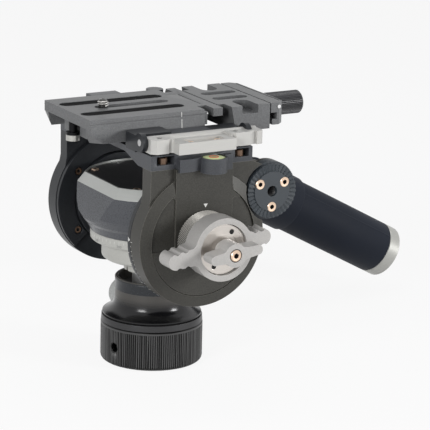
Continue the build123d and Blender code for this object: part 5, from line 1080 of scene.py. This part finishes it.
@dataclass
class PanHead(Part):
    """Turning rings, the drum between the side plates and the shaft."""

    body: str = "pan_head"
    ring_radius: float = 37.0
    ring_low: float = 74.5
    ring_high: float = 80.3
    tick_count: int = 72
    number_step: int = 30
    cap_screw: POINT = (26.4, 25.2)
    cap_top: float = 112.1
    nut_face: float = 83.1
    nut_circle: float = 11.0
    nut_angle: float = 60.2
    tilt: float = TILT_HEIGHT
    tilt_ring_radius: float = 40.0
    tilt_ring_span: POINT = (44.0, 47.2)

    def build(self) -> None:
        """Make the pieces that turn with the pan axis."""
        for node, finish, width in (("pan_journal", SILVER, 0.3), ("pan_lower_ring", SILVER, 0.3),
                                    ("pan_scale_ring", SILVER, 0.25)):
            self.soften(node, finish, Slot.SILVER, width)
        self.soften("drum_shell", DRUM, Slot.DRUM, 0.3, 3, 14.0)
        self.soften("drum_trim", TRIM, Slot.SILVER, 0.35, 3)
        self.soften("drum_cap", CAP, Slot.BLACK_PLASTIC, 0.3)
        self.soften("tilt_scale_ring", BLACK, Slot.BLACK, 0.3)
        self.soften("far_flange", BLACK, Slot.BLACK, 0.3)
        self.soften("shaft_nut", NUT, Slot.MACHINED, 0.35, 3)
        for node, finish in (("pan_spindle", STEEL), ("pan_spindle_nut", STEEL), ("tilt_shaft", STEEL),
                             ("tilt_damper", HIDDEN), ("counterbalance_spring", STEEL)):
            if node in frame["record"]["behaviour"]["bodies"][self.body]:
                self.carry(node, finish)
        x, y = self.cap_screw
        places = [(sx * x, sy * y, self.cap_top) for sx in (-1, 1) for sy in (-1, 1)]
        size = Screw(radius=2.3, height=1.2, shank=1.25, length=4.0)
        self.screws("drum_cap_screws", size, Line.ALONG_Z, places, COPPER, Slot.COPPER)
        self._nut_holes()
        self._pan_scale()
        self._tilt_index()

    def _nut_holes(self) -> None:
        """Near-black discs at the floors of the two spanner holes in the shaft's nut: painted shade."""
        blank = Blank()
        for turn in (self.nut_angle, self.nut_angle + 180.0):
            since = blank.count()
            blank.turn([(0.0, -1.2), (1.35, -1.2), (1.42, -0.05), (1.2, 0.02), (0.0, 0.02)], 28)
            y = self.nut_circle * math.cos(math.radians(turn))
            z = self.tilt + self.nut_circle * math.sin(math.radians(turn))
            blank.move(Line.ALONG_X.placing((self.nut_face, y, z)), since)
        self.put("nut_holes", blank.mesh("nut_holes", Matrix.Identity(4)), HOLE_SHADE, Slot.MACHINED)

    def _pan_scale(self) -> None:
        """Ticks and plain numbers round the pan ring."""
        places = []
        for n in range(self.tick_count):
            turned = Matrix.Rotation(2 * math.pi * n / self.tick_count, 4, "Z")
            length = 2.0 if n % 2 == 0 else 1.3
            at = Line.ALONG_X.placing((self.ring_radius, 0.0, self.ring_high - 1.3 - length / 2))
            places.append((turned @ at, length, 0.22))
        ticks = marks(places)
        self.put("pan_ticks", ticks.mesh("pan_ticks", Matrix.Identity(4)), PRINT, Slot.SILVER)
        blank = Blank()
        for degrees in range(0, 360, self.number_step):
            since = blank.count()
            drawn = numeral(str(degrees), 2.3)
            blank.bm.from_mesh(drawn)
            bpy.data.meshes.remove(drawn)
            blank.bm.verts.ensure_lookup_table()
            for vert in blank.bm.verts[since:]:
                turn = vert.co.x / self.ring_radius + math.radians(degrees)
                reach = self.ring_radius + 0.05
                vert.co = (reach * math.cos(turn), reach * math.sin(turn), self.ring_low + 1.75 + vert.co.y)
        self.put("pan_numbers", blank.mesh("pan_numbers", Matrix.Identity(4)), FAINT, Slot.SILVER)

    def _tilt_index(self) -> None:
        """White index triangle and ticks on the rim of the tilt ring."""
        blank = Blank()
        low, high = self.tilt_ring_span
        face = Matrix.Translation((0.0, -self.tilt_ring_radius - 0.03, self.tilt + 1.0)) @ UPRIGHT
        bmesh.ops.create_circle(blank.bm, cap_ends=True, radius=1.6, segments=3)
        blank.move(Matrix.Translation((high - 1.3, 0, 0)) @ face @ Matrix.Rotation(-math.pi / 2, 4, "Z"))
        places = []
        for step in range(10, 61, 10):
            turned = Matrix.Translation((0, 0, self.tilt)) @ Matrix.Rotation(math.radians(step), 4, "X")
            at = Matrix.Translation((low + 0.8, -self.tilt_ring_radius, 0)) @ UPRIGHT
            places.append((turned @ at, 1.3, 0.25))
        ticks = marks(places)
        self.put("tilt_index", blank.mesh("tilt_index", Matrix.Identity(4)), PRINT, Slot.BLACK)
        self.put("tilt_ticks", ticks.mesh("tilt_ticks", Matrix.Identity(4)), PRINT, Slot.BLACK)


@dataclass
class Yoke(Part):
    """Side plates, rosettes, platform and level, which tilt together."""

    body: str = "tilt_yoke"
    tilt: float = TILT_HEIGHT
    plate_radius: float = 39.9
    cover_face: float = 60.5
    pointer: POINT = (1.0, 107.9)
    marks_start: float = 47.75
    rosette: POINT = (45.4, 110.9)
    rosette_face: float = 59.2
    rosette_circle: float = 9.3
    rosette_angles: tuple[float, ...] = (30.0, 150.0, 270.0)
    ring_face: float = -47.3
    ring_circle: float = 31.4
    ring_angles: tuple[float, ...] = (215.0, 145.0, 35.0, -35.0)
    window_screws: tuple[float, ...] = (-23.5, 25.5)
    window_screw_x: float = 53.7
    window_screw_top: float = 136.5
    vial: PLACE = VIAL_TOP
    vial_radius: float = 7.0
    vial_depth: float = 3.9
    platform_side: float = 57.7

    def build(self) -> None:
        """Make the pieces of the yoke."""
        self.soften("control_side_plate", WARM, Slot.WARM, 0.3)
        self.soften("control_side_cover", WARM, Slot.WARM, 0.2)
        self.soften("far_side_plate", BLACK, Slot.BLACK, 0.3)
        self.soften("far_side_ring", BLACK, Slot.BLACK, 0.25)
        self.soften("control_rosette", ROSETTE, Slot.ROSETTE, 0.12)
        self.soften("handle_side_rosette", ROSETTE, Slot.ROSETTE, 0.2)
        self.soften("platform", SLATE, Slot.SLATE, 0.25)
        self.soften("level_bracket", SLATE, Slot.SLATE, 0.3)
        self.soften("far_clamp_rail", SLATE, Slot.SLATE, 0.25)
        self.carry("tilt_bushes", BRONZE)
        self._screws()
        self._level()
        self._pointer()

    def _around(self, angle: float, circle: float, centre: POINT) -> POINT:
        """Point (y, z) on a circle seen along X, with 0 degrees towards the rear and 90 at the top."""
        turn = math.radians(angle)
        return centre[0] + circle * math.cos(turn), centre[1] + circle * math.sin(turn)

    def _screws(self) -> None:
        """All the screws of the yoke."""
        near = [(self.rosette_face + 0.3, *self._around(angle, self.rosette_circle, self.rosette))
                for angle in self.rosette_angles]
        blank = Blank()
        size = Screw(radius=2.9, height=2.2, shank=1.5, length=6.5)
        for n, place in enumerate(near):
            size.add(blank, Line.ALONG_X.placing(place) @ Matrix.Rotation(0.5 + n, 4, "Z"))
        flip = Matrix.Rotation(math.pi, 4, "X")
        for angle in self.rosette_angles:
            y, z = self._around(angle, self.rosette_circle, self.rosette)
            size.add(blank, Line.ALONG_X.placing((-self.rosette_face, y, z)) @ flip)
        mesh = blank.mesh("rosette_screws_made", Matrix.Identity(4))
        self.put("rosette_screws_made", mesh, COPPER, Slot.COPPER, ["rosette_screws"], SOCKET_SHADOW)
        places = [(self.ring_face, *self._around(angle, self.ring_circle, (0.0, self.tilt)))
                  for angle in self.ring_angles]
        size = Screw(radius=2.2, height=1.5, shank=1.2, length=0.4)
        self.screws("far_ring_screws", size, Line.ALONG_X, places, SHADED_COPPER, Slot.COPPER)
        places = [(side * self.window_screw_x, y, self.window_screw_top) for side in (-1, 1)
                  for y in self.window_screws]
        size = Screw(radius=2.6, height=3.6, shank=1.5, length=10.9)
        self.screws("platform_screws", size, Line.ALONG_Z, places, SHADED_COPPER, Slot.COPPER)
        span = (self.rosette_face - 8.0, self.rosette_face - 1.4)
        thread = Blank().thread(root=3.175, crest=2.6, pitch=1.27, span=span, steps=24)
        mesh = thread.mesh("rosette_thread", Line.ALONG_X.placing((0.0, *self.rosette)))
        # The thread in the rosette's bore takes the black cap finish: painted shade of the deep hole.
        self.put("rosette_thread", mesh, CAP, Slot.ROSETTE)

    def _level(self) -> None:
        """Round level: liquid, bubble, ring mark and rim, trimmed to the bracket's inner side."""
        x, y, top = self.vial
        place = Matrix.Translation((x, y, top))
        inner = self.vial_radius - 0.4
        dome = [(0.0, -0.02), (inner * 0.5, -0.08), (inner * 0.85, -0.28), (inner, -0.55),
                (inner, -self.vial_depth), (0.0, -self.vial_depth)]
        edge = (self.platform_side - x, 0.0, 0.0)
        inwards = (-1.0, 0.0, 0.0)
        vial = Blank().turn(dome, 48).trim(edge, inwards).mesh("level_vial_made", place)
        self.put("level_vial_made", vial, VIAL, Slot.GLASS, ["level_vial"])
        rim = [(inner - 0.1, -0.6), (inner, -0.12), (inner + 0.2, 0.0), (self.vial_radius, -0.15),
               (self.vial_radius, -self.vial_depth), (inner - 0.1, -self.vial_depth)]
        ring = Blank().turn(rim, 48, 0.05, True).trim(edge, inwards).mesh("level_rim", place)
        self.put("level_rim", ring, VIAL_RIM, Slot.GLASS)
        bubble = [(0.0, 0.06), (1.0, 0.04), (1.5, -0.04), (1.6, -0.15), (0.0, -0.2)]
        self.put("level_bubble", Blank().turn(bubble, 32).mesh("level_bubble", place), BUBBLE, Slot.GLASS)
        mark = [(2.2, 0.14), (2.8, 0.14), (2.8, -0.4), (2.2, -0.4)]
        circle = Blank().turn(mark, 40, closed=True).mesh("level_mark", place)
        self.put("level_mark", circle, VIAL_RING, Slot.GLASS)

    def _pointer(self) -> None:
        """Pointer triangle above the dial and short pale marks on the rim."""
        blank = Blank()
        bmesh.ops.create_circle(blank.bm, cap_ends=True, radius=1.5, segments=3)
        at = (self.cover_face + 0.03, *self.pointer)
        blank.move(Line.ALONG_X.placing(at) @ Matrix.Rotation(-math.pi / 2, 4, "Z"))
        self.put("dial_pointer", blank.mesh("dial_pointer", Matrix.Identity(4)), PRINT, Slot.WARM)
        places = []
        for step in (0, *range(4, 65, 4)):
            turned = Matrix.Translation((0, 0, self.tilt)) @ Matrix.Rotation(math.radians(step), 4, "X")
            length = 1.8 if step == 0 else 0.7
            at = Matrix.Translation((self.marks_start + length / 2, -self.plate_radius, 0)) @ UPRIGHT
            places.append((turned @ at, length, 0.3))
        self.put("rim_marks", marks(places).mesh("rim_marks", Matrix.Identity(4)), PRINT, Slot.WARM)


@dataclass
class Dial(Part):
    """Friction dial with a diamond knurl."""

    body: str = "friction_dial"
    radius: float = 17.4
    inner: float = 9.05
    low: float = 61.0
    high: float = 72.0
    teeth: int = 66
    rows: int = 12
    depth: float = 0.7
    tilt: float = TILT_HEIGHT

    def build(self) -> None:
        """Make the knurled dial."""
        blank = Blank()
        segments = self.teeth * 2
        start = blank.loop(self.inner, self.low, segments)
        loop = blank.grow(start, self.low, lambda turn: self.radius - 1.0)
        loop = blank.grow(loop, self.low + 0.5, lambda turn: self.radius - 0.45)
        reach = (self.high - self.low - 1.4) / self.rows
        for row in range(self.rows + 1):
            def relief(turn: float, row: int = row) -> float:
                """Crest or groove of the diamond pattern."""
                column = round(turn / (2 * math.pi) * segments)
                return self.radius - (self.depth if (row + column) % 2 else 0.0)
            loop = blank.grow(loop, self.low + 0.7 + row * reach, relief)
        for height, radius in ((self.high - 0.5, self.radius - 0.45), (self.high, self.radius - 1.1),
                               (self.high, self.inner)):
            loop = blank.grow(loop, height, lambda turn, radius=radius: radius)
        blank.bridge(loop, start)
        mesh = blank.mesh("friction_dial_made", Line.ALONG_X.placing((0.0, 0.0, self.tilt)), flat=True)
        self.put("friction_dial_made", mesh, DIAL, Slot.SILVER, ["friction_dial"])


@dataclass
class Lever(Part):
    """Winged lever on the tilt axis."""

    node: str = "tilt_lock_lever"
    width: float = 0.4

    def build(self) -> None:
        """Round the lever's edges."""
        self.soften(self.node, LEVER, Slot.SILVER, self.width, 3, 32.0)


@dataclass
class ShaftScrew(Part):
    """Screw in the end of the shaft, with a dark ring of painted shade in the gap round it."""

    body: str = "pan_head"
    face: float = 98.6
    tilt: float = TILT_HEIGHT
    radius: float = 3.3
    hole: float = 3.8
    ring_span: POINT = (-1.9, -0.9)

    def build(self) -> None:
        """Make the screw and the ring of painted shade."""
        place = (self.face, 0.0, self.tilt)
        size = Screw(self.radius, height=2.0, shank=2.0, length=3.0, dome=0.5)
        self.screws("shaft_screw", size, Line.ALONG_X, [place], COPPER, Slot.COPPER)
        low, high = self.ring_span
        outline = [(self.radius, low), (self.hole, low), (self.hole, high), (self.radius, high)]
        ring = Blank().turn(outline, 48, closed=True)
        mesh = ring.mesh("shaft_screw_gap_shade", Line.ALONG_X.placing(place))
        self.put("shaft_screw_gap_shade", mesh, CAP, Slot.BLACK)


@dataclass
class Clamp(Part):
    """Jaw, hinge blocks and pin of the plate clamp."""

    body: str = "clamp_jaw"

    def build(self) -> None:
        """Round the edges of the clamp's pieces."""
        self.soften("clamp_jaw", SLATE, Slot.SLATE, 0.3)
        self.soften("clamp_hinge_block", BLACK, Slot.SLATE, 0.3)
        self.soften("clamp_pin", STEEL, Slot.STEEL, 0.3)


@dataclass
class ClampBar(Part):
    """Silver lever bar of the clamp with its two screws."""

    body: str = "clamp_lever"
    screw_x: float = 60.4
    screw_y: POINT = (-9.0, 8.0)
    screw_top: float = 145.3
    hole_x: float = 54.2
    hole_y: POINT = (-26.0, 22.5)
    hole_tops: POINT = (148.0, 147.6)
    lining: tuple[POINT, ...] = ((0.0, -2.95), (1.78, -2.95), (1.78, -0.45), (1.5, -0.45), (1.5, -1.2),
                                 (0.0, -1.2))

    def build(self) -> None:
        """Round the bar's edges, set its screws and line its holes with painted shade."""
        self.soften("clamp_bar", BAR, Slot.SILVER, 0.45, 3)
        places = [(self.screw_x, y, self.screw_top) for y in self.screw_y]
        size = Screw(radius=2.3, height=1.1, shank=1.2, length=0.5)
        self.screws("clamp_bar_screws", size, Line.ALONG_Z, places, COPPER, Slot.SILVER)
        blank = Blank()
        for y, top in zip(self.hole_y, self.hole_tops):
            since = blank.count()
            blank.turn(self.lining, 28)
            blank.move(Matrix.Translation((self.hole_x, y, top)), since)
        self.put("clamp_bar_hole_shade", blank.mesh("clamp_bar_hole_shade", Matrix.Identity(4)), HOLE_SHADE, Slot.SILVER)


@dataclass
class CameraPlate(Part):
    """Sliding plate with rubber strips, screws and the rear clamp body."""

    body: str = "camera_plate"
    half_width: float = 29.3
    flare: float = 1.3
    top: float = 155.5
    leg_bottom: float = 141.5
    index_y: float = 1.5
    index_spans: tuple[POINT, ...] = ((1.0, 9.5), (10.9, 13.6))

    def build(self) -> None:
        """Make the pieces of the camera plate."""
        self.soften("camera_plate", PLATE, Slot.SLATE, 0.3)
        self.soften("rear_clamp_body", PLATE, Slot.SLATE, 0.3)
        self.soften("grip_strips", STRIP, Slot.STRIP, 0.2)
        self.carry("plate_end_pins", STEEL)
        self.carry("stop_screw", END_PIN)
        self._index()

    def _index(self) -> None:
        """Pale index line down each leaning flank, broken by the groove."""
        drop = self.top - self.leg_bottom
        lean = math.atan2(self.flare, drop)
        places = []
        for side in (-1, 1):
            for low, high in self.index_spans:
                height = self.leg_bottom + (low + high) / 2
                x = side * (self.half_width + self.flare * (self.top - height) / drop)
                stand = Matrix.Translation((x, self.index_y, height))
                stand = stand @ Matrix.Rotation(side * (math.pi / 2 - lean), 4, "Y")
                places.append((stand @ Matrix.Rotation(math.pi / 2, 4, "Z"), 0.4, high - low))
        mesh = marks(places, 0.05).mesh("plate_index", Matrix.Identity(4))
        self.put("plate_index", mesh, PRINT, Slot.SLATE)


@dataclass
class CameraScrew(Part):
    """Threaded camera screw with its dark collar."""

    body: str = "camera_screw"
    plate_top: float = 155.5
    radius: float = 3.175
    tip: float = 160.0
    pitch: float = 1.27
    head_radius: float = 5.1
    head_low: float = 146.2
    head_top: float = 149.2
    neck: float = 2.575

    def build(self) -> None:
        """Make the screw with its thread."""
        root = self.radius - 0.55
        outline = [(0.0, self.head_low), (self.head_radius - 0.4, self.head_low),
                   (self.head_radius, self.head_low + 0.4), (self.head_radius, self.head_top),
                   (self.neck, self.head_top), (self.neck, self.plate_top + 0.3),
                   (root, self.plate_top + 0.35), (root, self.tip - 0.9), (root - 0.5, self.tip - 0.25),
                   (root - 1.1, self.tip), (0.9, self.tip), (0.9, self.tip - 1.2), (0.0, self.tip - 1.2)]
        blank = Blank().turn(outline, 40)
        blank.thread(root - 0.02, self.radius, self.pitch, (self.plate_top + 0.3, self.tip - 0.3), 32)
        mesh = blank.mesh("camera_screw_made", Matrix.Translation(CAMERA_SCREW_LINE))
        self.put("camera_screw_made", mesh, THREAD, Slot.STEEL, ["camera_screw"])


@dataclass
class RearJaw(Part):
    """End jaw of the rear clamp and its pins."""

    body: str = "rear_jaw"

    def build(self) -> None:
        """Round the jaw's edges."""
        self.soften("rear_jaw", PLATE, Slot.SLATE, 0.3)
        self.carry("rear_jaw_pins", STEEL)


@dataclass
class RearKnob(Part):
    """Long knob with a straight knurl, on its screw."""

    body: str = "rear_knob"
    radius: float = 7.0
    low: float = 70.3
    high: float = 97.0
    screw_radius: float = 2.5
    screw_tip: float = 41.8
    teeth: int = 44
    depth: float = 0.35

    def build(self) -> None:
        """Make the knob with its knurl and plain end collar."""
        blank = Blank()
        segments = self.teeth * 4
        knurl = wave(self.teeth, self.depth, 0.45)
        tip = blank.loop(self.screw_radius - 0.4, self.screw_tip, segments)
        blank.close(tip)
        loop = tip
        plain = ((self.screw_tip + 0.4, self.screw_radius), (self.low, self.screw_radius),
                 (self.low, self.radius - 0.8), (self.low + 0.5, self.radius - 0.2),
                 (self.low + 4.0, self.radius - 0.2))
        for height, radius in plain:
            loop = blank.grow(loop, height, lambda turn, radius=radius: radius)
        for height, share in ((self.low + 4.3, 1.0), (self.high - 1.4, 1.0), (self.high - 1.1, 0.6)):
            loop = blank.grow(loop, height, lambda turn, share=share: self.radius - share * knurl(turn))
        for height, radius in ((self.high - 0.8, self.radius - 0.1), (self.high, self.radius - 0.9),
                               (self.high, 2.4), (self.high - 0.6, 2.2)):
            loop = blank.grow(loop, height, lambda turn, radius=radius: radius)
        blank.close(loop)
        mesh = blank.mesh("rear_knob_made", Line.ALONG_Y.placing(KNOB_LINE), 28.0)
        self.put("rear_knob_made", mesh, KNOB_BLACK, Slot.BLACK, ["rear_knob"])


@dataclass
class Handle(Part):
    """Pan handle: clamp head, tube, rubber grip and end cap."""

    body: str = "handle"
    pivot: PLACE = (-72.1, 45.4, 110.9)
    drop: float = 28.4
    start: float = 64.0
    collar_end: float = 102.0
    end: float = 178.0
    radius: float = 16.8
    proud: float = 1.1
    seams: POINT = (-0.668, 2.474)
    seam_half: float = 1.3
    seam_rise: float = 0.22
    core: float = 11.0
    cap_length: float = 8.8

    def line(self) -> Matrix:
        """Place of a piece made round +Z, laid along the handle."""
        down = Matrix.Rotation(math.radians(-self.drop), 4, "X")
        return Matrix.Translation(Vector(self.pivot)) @ down @ Line.ALONG_Y.placing()

    def build(self) -> None:
        """Make the pieces of the handle."""
        self.soften("handle_head", BLACK, Slot.BLACK, 0.4, 3)
        self.soften("handle_tube", BLACK, Slot.BLACK, 0.3)
        self.soften("handle_bolt", CAP, Slot.BLACK_PLASTIC, 0.4, 3)
        self._grip()
        self._end_cap()

    def _grip(self) -> None:
        """Rubber sleeve with a thicker collar, rounded ends and a moulding seam along it."""
        blank = Blank()
        segments = 144
        seam = math.radians(self.seam_half)

        def skin(reach: float) -> Callable[[float], float]:
            """Radius with the raised seam on two sides."""
            def at(turn: float) -> float:
                """Radius at one angle."""
                off = min(abs(((turn - line + math.pi) % (2 * math.pi)) - math.pi) for line in self.seams)
                return reach + (self.seam_rise if off < seam else 0.0)
            return at

        start = blank.loop(self.core, self.start, segments)
        loop = start
        crown = self.radius + self.proud
        length = self.collar_end - self.start
        for height, reach in ((0.0, crown - 3.0), (0.4, crown - 1.5), (1.2, crown - 0.6), (3.0, crown),
                              (length - 1.2, crown), (length - 0.3, crown - 0.4)):
            loop = blank.grow(loop, self.start + height, lambda turn, reach=reach: reach)
        for height in (self.collar_end, (self.collar_end + self.end) / 2, self.end - 0.5):
            loop = blank.grow(loop, height, skin(self.radius))
        loop = blank.grow(loop, self.end, lambda turn: self.radius - 0.3)
        loop = blank.grow(loop, self.end, lambda turn: self.core)
        blank.bridge(loop, start)
        mesh = blank.mesh("handle_grip_made", self.line())
        self.put("handle_grip_made", mesh, GRIP, Slot.GRIP, ["handle_grip"])

    def _end_cap(self) -> None:
        """Turned metal cap with a shallow dish in its end."""
        high = self.end + self.cap_length
        outline = [(0.0, self.end), (self.radius - 0.3, self.end), (self.radius, self.end + 0.35),
                   (self.radius, high - 0.9), (self.radius - 0.9, high), (self.radius - 3.0, high),
                   (self.radius - 3.6, high - 0.5), (0.0, high - 0.9)]
        mesh = Blank().turn(outline, 96).mesh("handle_end_cap_made", self.line())
        self.put("handle_end_cap_made", mesh, SILVER, Slot.SILVER, ["handle_end_cap"])


@dataclass
class Studio:
    """Camera, soft lights, white surroundings and a pale floor."""

    azimuth: float = 60.43
    elevation: float = 14.89
    roll: float = 1.32
    distance: float = 1.4297
    target: PLACE = (0.0733, 0.0, 0.1052)
    lens: float = 213.33
    lamps_aim: PLACE = (0.02, 0.0, 0.09)
    floor_glow: float = 0.90

    def build(self) -> None:
        """Make the whole studio."""
        self._camera()
        self._surroundings()
        self._floor()
        self._lamp("key", (0.75, -1.20, 0.60), 0.5, 12.5)
        self._lamp("fill", (1.15, 1.00, 0.45), 0.4, 13.0)
        self._lamp("top", (-0.25, 0.05, 1.5), 0.7, 3.0)
        bpy.context.scene.view_settings.view_transform = "Standard"

    def _camera(self) -> None:
        """Camera at the photograph's place."""
        a, e, r = (math.radians(value) for value in (self.azimuth, self.elevation, self.roll))
        back = Vector((math.sin(a) * math.cos(e), -math.cos(a) * math.cos(e), math.sin(e)))
        right = Vector((math.cos(a), math.sin(a), 0.0))
        up = back.cross(right)
        across = right * math.cos(r) + up * math.sin(r)
        above = up * math.cos(r) - right * math.sin(r)
        data = bpy.data.cameras.new("camera")
        data.sensor_width = 36.0
        data.lens = self.lens
        data.clip_start, data.clip_end = 0.05, 20.0
        camera = bpy.data.objects.new("camera", data)
        bpy.context.scene.collection.objects.link(camera)
        turned = Matrix((across, above, back)).transposed().to_4x4()
        camera.matrix_world = Matrix.Translation(Vector(self.target) + back * self.distance) @ turned
        bpy.context.scene.camera = camera

    def _seen(self, net: Net) -> Wire:
        """1 for camera, glossy and transmission rays."""
        path = net.node("ShaderNodeLightPath")
        seen = Wire(net, path.outputs["Is Camera Ray"]) + Wire(net, path.outputs["Is Glossy Ray"])
        return (seen + Wire(net, path.outputs["Is Transmission Ray"])).held()

    def _surroundings(self) -> None:
        """World that is white where it shows and softer where it lights."""
        world = bpy.data.worlds.new("surroundings")
        bpy.context.scene.world = world
        net = Net(world)
        colour = net.mix(self._seen(net), (0.14, 0.14, 0.15, 1.0), (1.0, 1.0, 1.0, 1.0))
        background = net.node("ShaderNodeBackground", None, {"Color": colour, "Strength": 1.0})
        output = net.node("ShaderNodeOutputWorld")
        net.tree.links.new(background.outputs[0], output.inputs["Surface"])

    def _floor(self) -> None:
        """Pale floor that keeps a light shadow."""
        blank = Blank()
        bmesh.ops.create_grid(blank.bm, x_segments=4, y_segments=4, size=4000.0)
        floor = bpy.data.objects.new("floor", blank.mesh("floor", Matrix.Identity(4)))
        bpy.context.scene.collection.objects.link(floor)
        material = bpy.data.materials.new("pale_floor")
        net = Net(material)
        tint = net.mix(net.noise(6.0, 2.0), (0.90, 0.90, 0.90, 1.0), (0.93, 0.93, 0.93, 1.0))
        lit = net.wire("ShaderNodeBsdfDiffuse", None, {"Color": tint})
        glow = net.wire("ShaderNodeEmission", None, {"Color": (1.0, 1.0, 1.0, 1.0), "Strength": 1.0})
        mixed = net.wire("ShaderNodeMixShader", None, {0: self._seen(net) * self.floor_glow, 1: lit, 2: glow})
        output = net.node("ShaderNodeOutputMaterial")
        net.tree.links.new(mixed.socket, output.inputs["Surface"])
        floor.data.materials.append(material)

    def _lamp(self, name: str, place: PLACE, size: float, power: float) -> None:
        """Square soft lamp that points at the object."""
        data = bpy.data.lights.new(name, "AREA")
        data.shape = "SQUARE"
        data.size = size
        data.energy = power
        lamp = bpy.data.objects.new(name, data)
        bpy.context.scene.collection.objects.link(lamp)
        lamp.location = place
        lamp.rotation_mode = "QUATERNION"
        away = Vector(place) - Vector(self.lamps_aim)
        lamp.rotation_quaternion = away.to_track_quat("Z", "Y")


def main() -> None:
    """Build the object's sub-assemblies in order, then the studio."""
    logging.basicConfig(level=logging.INFO, format="%(name)s: %(message)s")
    levers = [Lever("tilt_lock_lever"), Lever("shaft_lever", node="shaft_lever", width=0.35)]
    parts = [Base(), LockRing(), PanLock(), PanHead(), Yoke(), Dial(), *levers, ShaftScrew(), Clamp(),
             ClampBar(), CameraPlate(), CameraScrew(), RearJaw(), RearKnob(), Handle()]
    for part in parts:
        part.build()
    Studio().build()


if __name__ == "__main__":
    main()
